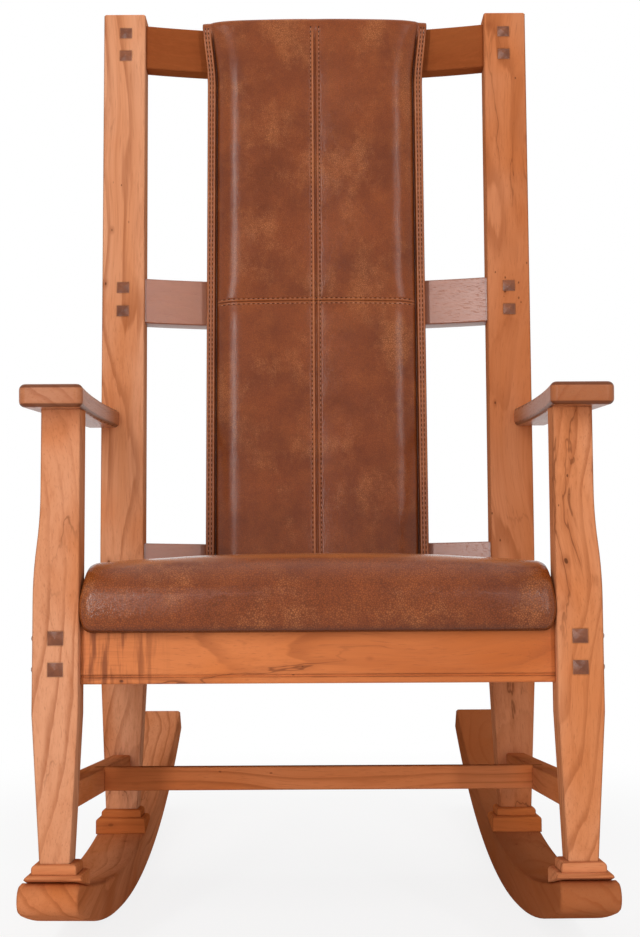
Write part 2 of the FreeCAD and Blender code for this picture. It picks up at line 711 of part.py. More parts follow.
stretcher_joints = [(leg, run_front_tenon), (post, run_rear_tenon)]
pair(shouldered("side_stretcher_cut", stretcher_bored, stretcher_joints), "side_stretcher")


# Back rails: three rails bowed backwards, tenoned between the posts
def bowed(name, front, back, reach, low, high):
    """A slab bowed like the rails: front and back move its two curved faces."""
    near = f"back_rail_setback + {front}"
    far = f"back_rail_setback + back_rail_thick + {back}"
    corners = [
        (f"-{reach}", near, "0", f"{near} + back_rail_bow"), (reach, near),
        (reach, far, "0", f"{far} + back_rail_bow"), (f"-{reach}", far),
    ]
    return padded(name, "XY_Plane", corners, low, high)


back_mortises = []
for height in ("lower", "middle", "top"):
    low = f"({height}_rail_w - back_rail_height / 2)"
    high = f"({height}_rail_w + back_rail_height / 2)"
    rail = lean(bowed(f"{height}_rail", "0", "0", "back_rail_reach", low, high))
    eased(rail, "Chamfer", "edge_break", runs_along("X", "back_rail_reach"))
    back_tenon, back_mortise = tenon(
        f"{height}_rail",
        ("post_inner_x / 2", "back_rail_mid - tenon_thick / 2", f"{low} + tenon_shoulder"),
        ("back_rail_reach", "back_rail_mid + tenon_thick / 2", f"{high} - tenon_shoulder"),
    )
    leaning_tenon = lean(group(f"{height}_tenon_leaning", [back_tenon]))
    back_mortises.append(lean(group(f"{height}_mortise_leaning", [back_mortise])))
    rest(spanning(f"{height}_rail_cut", rail, post, leaning_tenon), f"{height}_back_rail")


# Pegs: square plugs with pyramid heads, driven into square sockets
def peg(name):
    """One peg along Y with its head to the front, and its socket; both start at the peg's face centre."""
    half_x = "peg_width / 2"
    half_z = "peg_height / 2"
    shank = box(f"{name}_shank", (f"-{half_x}", "0", f"-{half_z}"), (half_x, "peg_depth", half_z))
    head = doc.addObject("Part::Wedge", f"{name}_head")
    for prop, expression in {
        "Xmin": f"-{half_x}", "Xmax": half_x, "X2min": "-peg_tip / 2", "X2max": "peg_tip / 2",
        "Ymin": "0", "Ymax": "peg_head",
        "Zmin": f"-{half_z}", "Zmax": half_z, "Z2min": "-peg_tip / 2", "Z2max": "peg_tip / 2",
    }.items():
        bind(head, prop, expression)
    head.Placement = Placement(Vector(), Rotation(Vector(0, 0, 1), 180))
    socket = box(
        f"{name}_socket", (f"-{half_x} - joint_gap", "-peg_head", f"-{half_z} - joint_gap"),
        (f"{half_x} + joint_gap", "peg_depth + joint_gap", f"{half_z} + joint_gap"),
    )
    return fused(f"{name}_whole", [shank, head]), group(f"{name}_socket_place", [socket])


def peg_pair(name, x, y, z, axis=Vector(0, 0, 1), turn=None):
    """Two pegs, one above the other, and their sockets."""
    pegs = []
    sockets = []
    for side, sign in (("low", "-"), ("high", "+")):
        whole, socket = peg(f"{name}_{side}")
        for thing in (whole, socket):
            place(thing, x, y, f"{z} {sign} peg_spacing / 2", axis, turn)
        pegs.append(whole)
        sockets.append(socket)
    return group(f"{name}_pair", pegs), group(f"{name}_socket_pair", sockets)


leg_sockets = []
outward = ("leg_outer_x", "front_foot_y", "rail_mid_z", Vector(0, 0, 1), "90")
for name, where in {"front_rail": ("leg_mid_x", "0", "rail_mid_z"), "side_rail": outward}.items():
    pegs, sockets = peg_pair(f"{name}_peg", *where)
    leg_sockets.append(sockets)
    rest(group(f"{name}_peg_set", [pegs, mirrored(pegs, f"{name}_peg_left")]), f"{name}_pegs")
post_sockets = []
for height in ("middle", "top"):
    pegs, sockets = peg_pair(f"{height}_peg", "post_peg_x", "0", f"{height}_rail_w")
    lean(pegs)
    post_sockets.append(lean(sockets))
    rest(group(f"{height}_peg_set", [pegs, mirrored(pegs, f"{height}_peg_left")]), f"{height}_rail_pegs")


# Arms: broad at the front, hollowed on the inside towards the back post
def tilted(thing):
    """Lays a shape drawn flat on the rising line of the arm."""
    place(thing, "0", "0", "arm_line_z", Vector(1, 0, 0), "arm_rise")
    return thing


arm_front = "arm_corner - arm_overhang"
corner_y = "arm_corner_cut - arm_overhang"
arm_outline = [
    ("arm_inner_front_x + arm_corner", "-arm_overhang"),
    ("arm_outer_x - arm_corner", "-arm_overhang", "arm_outer_x - arm_corner_cut", corner_y),
    ("arm_outer_x", arm_front),
    ("arm_outer_x", "arm_end_y"),
    ("arm_inner_rear_x", "arm_end_y",
     "(arm_inner_front_x + arm_inner_rear_x) / 2 + arm_inner_bow", "(arm_end_y - arm_overhang) / 2"),
    ("arm_inner_front_x", arm_front, "arm_inner_front_x + arm_corner_cut", corner_y),
]
arm = padded("arm", "XY_Plane", arm_outline, "0", "arm_thick")
arm_end = number("arm_end_y - arm_corner")
level_edge = number("arm_thick / 2")
eased(
    arm, "Fillet", "arm_round",
    lambda edge: edge.BoundBox.ZLength < level_edge and edge.BoundBox.YMin < arm_end,
)
tilted(arm)
space_plan = rectangle(("0", "-seat_depth"), ("arm_outer_x * 2", "seat_depth"))
arm_space = tilted(padded("arm_space", "XY_Plane", space_plan, "0", "post_top_z"))
upright = ("(seat_half_width + leg_top_x) / 2", "front_foot_y")
level = (
    "(arm_inner_rear_x + post_outer_x) / 2",
    "(seat_depth + (arm_line_z - post_bend_z) * recline_slope - foot_dowel_depth)",
)
front_long = "foot_dowel_depth + arm_dowel_depth"
rear_long = "foot_dowel_depth + tenon_length"
backward = (Vector(-1, 0, 0), "90")
arm_dowels = tilted(group("right_arm_dowels", [
    rod("arm_front_dowel", "arm_dowel_radius", front_long, *upright, "-foot_dowel_depth"),
    rod("arm_rear_dowel", "arm_dowel_radius", rear_long, *level, "arm_thick / 2", *backward),
]))
arm_bores = tilted(group("right_arm_bores", [
    rod("arm_front_bore", "arm_dowel_radius + joint_gap", f"{front_long} + 2 * joint_gap",
        *upright, "-foot_dowel_depth - joint_gap"),
    rod("arm_rear_bore", "arm_dowel_radius + joint_gap", f"{rear_long} + 2 * joint_gap",
        level[0], f"{level[1]} - joint_gap", "arm_thick / 2", *backward),
]))
rest(group("arm_dowel_set", [arm_dowels, mirrored(arm_dowels, "left_arm_dowels")]), "arm_dowels")
pair(cut("arm_cut", arm, post_wide, arm_bores), "arm")
leg_mortises = [front_mortise, side_front_mortise, run_front_mortise]
pair(cut("leg_cut", leg, arm_space, *leg_mortises, *leg_sockets, foot_bores["front"], arm_bores), "front_leg")
post_mortises = [rear_mortise, side_rear_mortise, run_rear_mortise, *back_mortises]
pair(cut("post_cut", post, *post_mortises, *post_sockets, foot_bores["rear"], arm_bores), "back_post")

# Seat board on the rails, with corner blocks in the frame under it
board = padded(
    "board", "XY_Plane",
    rectangle(("-board_half_width", "board_front_y"), ("board_half_width", "board_rear_y")),
    "seat_rail_top_z", "seat_rail_top_z + board_thick",
)
rest(board, "seat_board")


def side_face(y):
    """X of the side rail's inner face at a depth."""
    share = f"(({y}) - side_front_y) / (side_rear_y - side_front_y)"
    return f"leg_mid_x - seat_rail_thick / 2 + (post_mid_x - leg_mid_x) * {share}"


front_near = "leg_depth + block_land"
front_far = f"{front_near} + block_reach"
rear_near = "rear_face_y - block_land"
rear_far = f"{rear_near} - block_reach"
blocks = {
    "front": [
        ("seat_half_width - block_land - block_reach", "front_rail_back_y"),
        ("seat_half_width - block_land", "front_rail_back_y"),
        (side_face(front_near), front_near), (side_face(front_far), front_far),
    ],
    "rear": [
        ("post_inner_x - block_land - block_reach", "rear_rail_y"),
        (side_face(rear_far), rear_far), (side_face(rear_near), rear_near),
        ("post_inner_x - block_land", "rear_rail_y"),
    ],
}
for end, corners in blocks.items():
    pair(padded(f"{end}_block", "XY_Plane", corners, "block_low_z", "seat_rail_top_z"), f"corner_block_{end}")


def lofted(body, sections):
    """A loft with straight rulings through the sketched sections of a body."""
    loft = body.newObject("PartDesign::AdditiveLoft", f"{body.Name}_loft")
    loft.Profile = sections[0]
    loft.Sections = sections[1:]
    loft.Ruled = True
    doc.recompute()
    return body


# Seat cushion: foam with a rolled front under a leather cover, crowned and drawn in at the sides
def cushion(name, skin, curved):
    """The cushion's form, made smaller all round by the skin. The foam inside is cut with straight facets."""
    front_angles = (18, 48, 90) if curved else (48, 90)
    rear_angles = (90, 30) if curved else (90, 48)
    body = doc.addObject("PartDesign::Body", name)
    front = f"({skin} - cushion_overhang)"
    rear = f"(cushion_rear_y - {skin})"
    stations = []
    for angle in front_angles:
        y = f"{front} + cushion_front_roll * (1 - cos({angle}deg))"
        stations.append((y, f"sin({angle}deg)", "0", "0"))
    stations.append((f"({front} + {rear}) / 2", "1", "cushion_side_draw", "cushion_mid_fall"))
    for angle in rear_angles:
        y = f"{rear} - cushion_rear_roll * (1 - cos({angle}deg))"
        stations.append((y, f"sin({angle}deg)", "0", "cushion_rear_fall"))
    sections = []
    for y, swell, draw, fall in stations:
        half = f"(cushion_half_width - {skin} - {draw} - cushion_side_bulge * (1 - {swell}))"
        low = f"(cushion_mid_z - (cushion_mid_z - cushion_low_z - {skin}) * {swell})"
        top = f"(cushion_mid_z + (cushion_top_z - {fall} - {skin} - cushion_mid_z) * {swell})"
        side = f"({top} - cushion_crown * {swell})"
        edge = f"({half} - cushion_side_bulge * {swell})"
        waist = f"({low} + {side}) / 2"
        sketch = sketch_on(body, "XZ_Plane", f"-({y})")
        if curved:
            corners = [
                (f"-{edge}", low), (edge, low, half, waist),
                (edge, side, "0", top), (f"-{edge}", side, f"-{half}", waist),
            ]
        else:
            corners = [(f"-{edge}", low), (edge, low), (edge, side), ("0", top), (f"-{edge}", side)]
        outline(sketch, corners)
        sections.append(sketch)
    return lofted(body, sections)


under_cushion = box(
    "under_cushion", ("-arm_outer_x", "front_rail_setback - soft_gap", "0"),
    ("arm_outer_x", "seat_depth * 2", "seat_rail_top_z + soft_gap"),
)
around_board = box(
    "around_board",
    ("-board_half_width - soft_gap", "board_front_y - soft_gap", "seat_rail_top_z - board_thick"),
    ("board_half_width + soft_gap", "seat_depth * 2", "seat_rail_top_z + board_thick + soft_gap"),
)
under_seat = fused("under_seat", [under_cushion, around_board])
cushion_form = cushion("cushion_form", "0", True)
cushion_hollow = cushion("cushion_hollow", "leather", False)
cushion_core = cushion("cushion_core", "(leather + soft_gap)", False)
rest(cut("seat_cover_cut", cushion_form, cushion_hollow, under_seat), "seat_cushion")
rest(cut("seat_foam_cut", cushion_core, under_seat), "seat_foam")


# Back pad: a leather sleeve over foam, hollowed for the back, hooded over the top rail
def back_pad(name, low, high, skin, flanged):
    """The pad's form against the bowed rails. The foam inside is smaller by the skin and has no flanges."""
    stations = [
        (low, "0", "1"),
        ("middle_rail_w - pad_seam_band", "0", "1"),
        ("middle_rail_w", "0", "pad_seam_fullness"),
        ("middle_rail_w + pad_seam_band", "0", "1"),
        ("hood_low_w - pad_seam_band", "0", "1"),
        ("hood_low_w", "1", "pad_hood_fullness"),
        (high, "1", "pad_top_fullness"),
    ]
    body = doc.addObject("PartDesign::Body", name)
    sections = []
    for w, spread, fullness in stations:
        half = f"(pad_half_width + (hood_half_width - pad_half_width) * {spread})"
        crease_x = f"({half} - pad_flange - pad_channel / 2 - {skin})"
        outer_x = half if flanged else crease_x
        back_d = f"(back_rail_deep - pad_back_gap - {skin})"
        edge_d = f"({back_d} - back_rail_bow * ({outer_x} / back_rail_reach)^2)"
        crease_d = f"(pad_flange_d + pad_crease + {skin})"
        front_d = f"(pad_flange_d - pad_bulge * {fullness} + {skin})"
        seam_d = f"({front_d} + pad_hollow * {fullness})"
        shoulder_x = f"({crease_x} - pad_shoulder)"
        bulge_x = f"({crease_x} - pad_shoulder_in)"
        bulge_d = f"({crease_d} + ({front_d} - {crease_d}) * pad_shoulder_share)"
        deepest = ("0", f"{seam_d} + pad_channel")
        channel = [("pad_channel_half", seam_d), deepest, ("-pad_channel_half", seam_d)]
        if flanged:
            corners = [
                (outer_x, edge_d), (half, "pad_flange_d"), (f"{half} - pad_flange", "pad_flange_d"),
                (crease_x, crease_d, bulge_x, bulge_d), (shoulder_x, front_d), *channel,
                (f"-{shoulder_x}", front_d, f"-{bulge_x}", bulge_d), (f"-{crease_x}", crease_d),
                (f"pad_flange - {half}", "pad_flange_d"), (f"-{half}", "pad_flange_d"),
                (f"-{outer_x}", edge_d, "0", back_d),
            ]
        else:
            corners = [
                (outer_x, edge_d), (crease_x, crease_d), (bulge_x, bulge_d), (shoulder_x, front_d), *channel,
                (f"-{shoulder_x}", front_d), (f"-{bulge_x}", bulge_d), (f"-{crease_x}", crease_d),
                (f"-{outer_x}", edge_d), ("0", back_d),
            ]
        sketch = sketch_on(body, "XY_Plane", w)
        outline(sketch, corners)
        sections.append(sketch)
    return lofted(body, sections)


core_high = "pad_edge_w - leather"
pad_form = back_pad("pad_form", "pad_low_w", "pad_top_w", "0", True)
pad_hollow = back_pad("pad_hollow", "pad_low_w - leather", core_high, "leather", False)
pad_core = back_pad("pad_core", "pad_low_w", f"{core_high} - soft_gap", "(leather + soft_gap)", False)
hood_low = "hood_low_w + hood_hem"
hood = bowed("hood", "-hood_overlap", "hood_flap", "back_rail_reach", hood_low, "pad_top_w")
trimmed(hood, "XZ_Plane", rectangle(("-hood_half_width", "0"), ("hood_half_width", "post_top_z")))
slot_low, slot_high = "hood_low_w - post_bend_z", "hood_rail_w + soft_gap"
rail_slot = bowed("rail_slot", "-pad_slot_gap", "soft_gap", "back_rail_reach", slot_low, slot_high)
above_pad = padded(
    "above_pad", "YZ_Plane",
    [("pad_top_apex - pad_top_run", "pad_edge_w", "pad_top_apex", "pad_top_w"),
     ("pad_top_apex + pad_top_run", "pad_edge_w"),
     ("pad_top_apex + pad_top_run", "post_top_z"), ("pad_top_apex - pad_top_run", "post_top_z")],
    "-hood_half_width * 2", "hood_half_width * 2",
)
over_crown = padded(
    "over_crown", "XZ_Plane",
    [("-back_rail_reach", "pad_wing_w", "0", "pad_top_w"), ("back_rail_reach", "pad_wing_w"),
     ("back_rail_reach", "post_top_z"), ("-back_rail_reach", "post_top_z")],
    "-seat_depth", "seat_depth",
)
pad_and_hood = fused("pad_and_hood", [pad_form, hood])
pad_cover = cut("pad_cover", pad_and_hood, rail_slot, above_pad, over_crown, pad_hollow)
for thing, label in ((pad_cover, "back_pad"), (pad_core, "back_foam")):
    rest(group(f"{label}_on_back", [lean(thing)]), label)

doc.recompute()
for thing in doc.Objects:
    if "Invalid" in thing.State or "Error" in thing.State:
        raise RuntimeError(f"{thing.Label} failed: {thing.State}")
for thing in finished:
    if thing.Shape.isNull() or not thing.Shape.isValid() or not thing.Shape.Solids:
        raise RuntimeError(f"{thing.Label} has no sound shape")
os.makedirs("parts", exist_ok=True)
for thing in finished:
    thing.Shape.exportStep(f"parts/{thing.Label}.step")
    print(thing.Label, len(thing.Shape.Solids), round(thing.Shape.Volume))
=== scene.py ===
import math

import bmesh
import bpy
import numpy as np
from mathutils import Euler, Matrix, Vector


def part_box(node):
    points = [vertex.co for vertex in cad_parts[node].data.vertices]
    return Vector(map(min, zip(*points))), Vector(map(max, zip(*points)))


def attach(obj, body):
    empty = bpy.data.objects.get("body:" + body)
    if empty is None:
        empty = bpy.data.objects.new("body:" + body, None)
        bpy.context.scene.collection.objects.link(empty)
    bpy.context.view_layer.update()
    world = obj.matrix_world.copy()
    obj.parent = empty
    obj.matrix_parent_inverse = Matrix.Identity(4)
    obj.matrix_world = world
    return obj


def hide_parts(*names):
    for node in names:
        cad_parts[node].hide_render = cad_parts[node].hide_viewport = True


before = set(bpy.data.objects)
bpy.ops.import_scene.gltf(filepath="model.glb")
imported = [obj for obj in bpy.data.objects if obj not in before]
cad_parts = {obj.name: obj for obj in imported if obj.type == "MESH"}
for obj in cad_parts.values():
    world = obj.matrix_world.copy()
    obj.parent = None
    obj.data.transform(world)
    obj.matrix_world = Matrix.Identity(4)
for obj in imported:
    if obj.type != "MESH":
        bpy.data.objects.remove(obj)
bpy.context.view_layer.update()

# Rockers
# Two curved runners sawn from thick stock, thinner towards the ends, with a half-round nose. The wood
# is a fine-grained, knotty orange timber under thin lacquer; its edges and inside corners are painted
# darker, partly as handling wear and partly as painted shade.


def paint(red, green, blue):
    """A colour given as it is seen on a screen, 0 to 255, as linear light with full opacity."""
    seen = np.array([red, green, blue]) / 255
    return [*np.where(seen > 0.04045, ((seen + 0.055) / 1.055) ** 2.4, seen / 12.92), 1.0]


def node(tree, kind, sockets=(), **settings):
    """Adds a shader node. sockets gives inputs, by name or place, a value or the output that feeds them."""
    made = tree.nodes.new("ShaderNode" + kind)
    for name, value in settings.items():
        setattr(made, name, value)
    for key, value in dict(sockets).items():
        if isinstance(value, bpy.types.NodeSocket):
            tree.links.new(value, made.inputs[key])
        else:
            made.inputs[key].default_value = value
    return made


def maths(tree, operation, *values):
    """One step of arithmetic on numbers and outputs."""
    return node(tree, "Math", enumerate(values), operation=operation).outputs[0]


def mixed(tree, share, first, second):
    """Two colours mixed by share: 0 is the first and 1 the second."""
    return node(tree, "Mix", {0: share, 6: first, 7: second}, data_type="RGBA").outputs[2]


def between(tree, value, low, high):
    """0 below low, 1 above high, and a smooth step from one to the other."""
    sockets = {"Value": value, "From Min": low, "From Max": high}
    return node(tree, "MapRange", sockets, interpolation_type="SMOOTHSTEP").outputs[0]


def fading(tree, value, low, high):
    """1 below low, 0 above high, and a smooth step from one to the other."""
    return maths(tree, "SUBTRACT", 1.0, between(tree, value, low, high))


def stretched(tree, vector, x, y, z):
    """The coordinates multiplied by three factors."""
    return node(tree, "VectorMath", {0: vector, 1: (x, y, z)}, operation="MULTIPLY").outputs[0]


def clouds(tree, vector, scale, detail=2.0, rough=0.5):
    """Smooth noise from 0 to 1 with its middle at 0.5."""
    sockets = {"Vector": vector, "Scale": scale, "Detail": detail, "Roughness": rough}
    return node(tree, "TexNoise", sockets).outputs["Fac"]


def effect(name, inputs, outputs):
    """An empty shader group with the given sockets, and its input and output nodes."""
    tree = bpy.data.node_groups.new(name, "ShaderNodeTree")
    for side, sockets in (("INPUT", inputs), ("OUTPUT", outputs)):
        for label, kind in sockets:
            tree.interface.new_socket(name=label, in_out=side, socket_type="NodeSocket" + kind)
    return tree, tree.nodes.new("NodeGroupInput").outputs, tree.nodes.new("NodeGroupOutput").inputs


def edge_turn_mask():
    """How far the surface turns within a few millimetres: 0 on a flat, 1 on an edge, broken up by noise."""
    flat_turn, edge_turn, patch_scale, least_worn = 0.012, 0.16, 26.0, 0.3
    tree, given, out = effect("edge_turn_mask", [("Vector", "Vector"), ("Reach", "Float")], [("Mask", "Float")])
    softened = node(tree, "Bevel", {"Radius": given["Reach"]}, samples=6).outputs[0]
    true = node(tree, "NewGeometry").outputs["Normal"]
    turn = node(tree, "VectorMath", {0: softened, 1: true}, operation="DOT_PRODUCT").outputs["Value"]
    edge = between(tree, maths(tree, "SUBTRACT", 1.0, turn), flat_turn, edge_turn)
    patchy = between(tree, clouds(tree, given["Vector"], patch_scale, 3.0), 0.3, 0.62)
    share = maths(tree, "MULTIPLY_ADD", patchy, 1 - least_worn, least_worn)
    tree.links.new(maths(tree, "MULTIPLY", edge, share), out["Mask"])
    return tree


def wood_figure():
    """Figure of a sawn board whose grain runs along Z: thin rings about Z that waver along the board, fibre
    streaks, broad colour drifts, dark mineral lines where a slow noise crosses its middle, pin knots and
    clusters of worm holes. Depth and Shade set the board's tone, and Marks how much of its faults shows."""
    tree, given, out = effect(
        "wood_figure", [("Vector", "Vector"), ("Depth", "Float"), ("Shade", "Float"), ("Marks", "Float")],
        [("Color", "Color"), ("Roughness", "Float"), ("Height", "Float")],
    )
    board, marks = given["Vector"], given["Marks"]

    def grained(vector, across, along, detail=2.0, rough=0.5):
        """Noise drawn out along the grain, with so many waves to the metre across and along it."""
        return clouds(tree, stretched(tree, vector, across, across, along), 1.0, detail, rough)

    def both(mask, other):
        """One mask times another, or times an amount."""
        return maths(tree, "MULTIPLY", mask, other)

    sway, rings_per_metre, ring_ripple = 0.11, 74.0, 0.6
    drift = node(tree, "TexNoise", {"Vector": stretched(tree, board, 1, 1, 0.4), "Scale": 4.6, "Detail": 2.0})
    swing = node(tree, "VectorMath", {0: drift.outputs["Color"], 1: (0.5, 0.5, 0.5)}, operation="SUBTRACT")
    wavered = node(
        tree, "VectorMath", {0: swing.outputs[0], 1: (sway, sway, 0.0), 2: board}, operation="MULTIPLY_ADD"
    ).outputs[0]
    across = stretched(tree, wavered, 1, 1, 0.0)
    radius = node(tree, "VectorMath", {0: across}, operation="LENGTH").outputs["Value"]
    count = maths(tree, "MULTIPLY_ADD", radius, rings_per_metre, both(grained(wavered, 60, 5), ring_ripple))
    year = maths(tree, "FRACT", count)
    late = maths(tree, "SUBTRACT", between(tree, year, 0.62, 0.93), between(tree, year, 0.94, 1.0))
    ring = both(late, between(tree, grained(board, 9, 3.15), 0.34, 0.60))

    fibre = grained(wavered, 420, 9, 3.0, 0.6)
    strand = grained(wavered, 150, 3, 3.0, 0.6)
    pores = between(tree, grained(wavered, 900, 26, 1.0), 0.60, 0.74)
    broad = grained(wavered, 11, 1.6, 3.0)
    bloom = grained(board, 12, 7.2)

    vein = maths(tree, "ABSOLUTE", maths(tree, "SUBTRACT", grained(wavered, 24, 3.2, 4.0, 0.55), 0.5))
    rare = between(tree, grained(board, 8.5, 3.4), 0.54, 0.66)
    streak = both(fading(tree, vein, 0.002, 0.010), rare)
    stain = both(fading(tree, vein, 0.0, 0.08), rare)

    knots_per_metre, smallest, spread = 38.0, 0.035, 0.06
    cell = node(tree, "TexVoronoi", {"Vector": stretched(tree, wavered, 1, 1, 0.6), "Scale": knots_per_metre})
    chosen = node(tree, "SeparateColor", {"Color": cell.outputs["Color"]}).outputs
    size = maths(tree, "MULTIPLY_ADD", chosen[1], spread, smallest)
    far = maths(tree, "DIVIDE", cell.outputs["Distance"], size)
    kept = between(tree, chosen[0], 0.75, 0.77)
    knot = both(fading(tree, far, 0.6, 1.1), kept)
    halo = both(fading(tree, far, 0.8, 3.2), kept)

    bores_per_metre = 90.0
    bore = node(tree, "TexVoronoi", {"Vector": stretched(tree, board, 1, 1, 0.6), "Scale": bores_per_metre})
    taken = node(tree, "SeparateColor", {"Color": bore.outputs["Color"]}).outputs[0]
    infested = both(between(tree, grained(board, 11, 5.5), 0.57, 0.60), between(tree, taken, 0.50, 0.52))
    worm = both(fading(tree, bore.outputs["Distance"], 0.07, 0.12), infested)

    pale, honey, ember = paint(221, 157, 120), paint(206, 130, 84), paint(198, 112, 60)
    amber, russet, umber = paint(206, 112, 50), paint(178, 88, 36), paint(112, 58, 32)
    colour = mixed(tree, between(tree, broad, 0.32, 0.68), pale, honey)
    colour = mixed(tree, both(between(tree, bloom, 0.48, 0.74), 0.55), colour, ember)
    deep = mixed(tree, between(tree, broad, 0.3, 0.7), amber, russet)
    colour = mixed(tree, given["Depth"], colour, deep)
    colour = mixed(tree, given["Shade"], colour, umber)
    for mask, amount, tint in (
        (between(tree, strand, 0.46, 0.78), 0.30, paint(168, 90, 48)),
        (ring, 0.50, paint(146, 76, 40)),
        (between(tree, fibre, 0.45, 0.8), 0.26, paint(160, 86, 48)),
        (pores, 0.20, paint(116, 60, 34)),
        (both(stain, marks), 0.34, paint(146, 76, 42)),
        (both(streak, marks), 0.66, paint(92, 46, 26)),
        (both(halo, marks), 0.45, paint(140, 72, 40)),
        (both(knot, marks), 0.90, paint(60, 29, 18)),
        (both(worm, marks), 0.85, paint(72, 36, 24)),
    ):
        colour = mixed(tree, both(mask, amount), colour, tint)
    tree.links.new(colour, out["Color"])

    smoothest, rougher_fibre, rougher_pore = 0.24, 0.14, 0.10
    gloss = maths(tree, "MULTIPLY_ADD", fibre, rougher_fibre, smoothest)
    tree.links.new(maths(tree, "MULTIPLY_ADD", pores, rougher_pore, gloss), out["Roughness"])
    pore_deep, ring_deep, knot_deep, fibre_high = 0.5, 0.25, 1.6, 0.35
    open_pores = maths(tree, "MULTIPLY_ADD", pores, pore_deep, both(ring, ring_deep))
    sunk = maths(tree, "MULTIPLY_ADD", knot, knot_deep, open_pores)
    relief = maths(tree, "MULTIPLY_ADD", fibre, fibre_high, maths(tree, "SUBTRACT", 1.0, sunk))
    tree.links.new(relief, out["Height"])
    return tree


def rounded_shading():
    """A modifier that joins a node's triangles and shades them smooth except over edges sharper than the
    arris chamfers, so that a chamfer between two flats looks like a rounded-over arris."""
    weld_within, sharpest_smooth = 2e-5, math.radians(50)
    tree = bpy.data.node_groups.new("rounded_shading", "GeometryNodeTree")
    for side in ("INPUT", "OUTPUT"):
        tree.interface.new_socket(name="Geometry", in_out=side, socket_type="NodeSocketGeometry")
    weld = tree.nodes.new("GeometryNodeMergeByDistance")
    weld.inputs["Distance"].default_value = weld_within
    smooth = tree.nodes.new("GeometryNodeSetShadeSmooth")
    smooth.inputs["Shade Smooth"].default_value = True
    angle = tree.nodes.new("GeometryNodeInputMeshEdgeAngle")
    sharp = tree.nodes.new("FunctionNodeCompare")
    sharp.operation = "GREATER_THAN"
    sharp.inputs[1].default_value = sharpest_smooth
    crisp = tree.nodes.new("GeometryNodeSetShadeSmooth")
    crisp.domain = "EDGE"
    crisp.inputs["Shade Smooth"].default_value = False
    group_in, group_out = tree.nodes.new("NodeGroupInput"), tree.nodes.new("NodeGroupOutput")
    for start, end in (
        (group_in.outputs[0], weld.inputs["Geometry"]), (weld.outputs[0], smooth.inputs["Geometry"]),
        (smooth.outputs[0], crisp.inputs["Geometry"]), (angle.outputs["Unsigned Angle"], sharp.inputs[0]),
        (sharp.outputs[0], crisp.inputs["Selection"]), (crisp.outputs[0], group_out.inputs[0]),
    ):
        tree.links.new(start, end)
    return tree


GRAIN, EDGES, ROUNDED = wood_figure(), edge_turn_mask(), rounded_shading()


def bare_material(name):
    """A material with an empty node tree, and that tree."""
    material = bpy.data.materials.new(name)
    material.use_nodes = True
    material.node_tree.nodes.clear()
    return material, material.node_tree


def surfaced(tree, sockets):
    """Closes a material's tree with the shader whose sockets are given."""
    shader = node(tree, "BsdfPrincipled", sockets)
    node(tree, "OutputMaterial", {"Surface": shader.outputs[0]})


def dressed(name, material):
    """Gives a CAD node its finish and its rounded shading."""
    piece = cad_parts[name]
    piece.data.materials.clear()
    piece.data.materials.append(material)
    piece.modifiers.new("rounded_shading", "NODES").node_group = ROUNDED
    weighted = piece.modifiers.new("flat_faces_first", "WEIGHTED_NORMAL")
    weighted.keep_sharp = True
    weighted.weight = 80


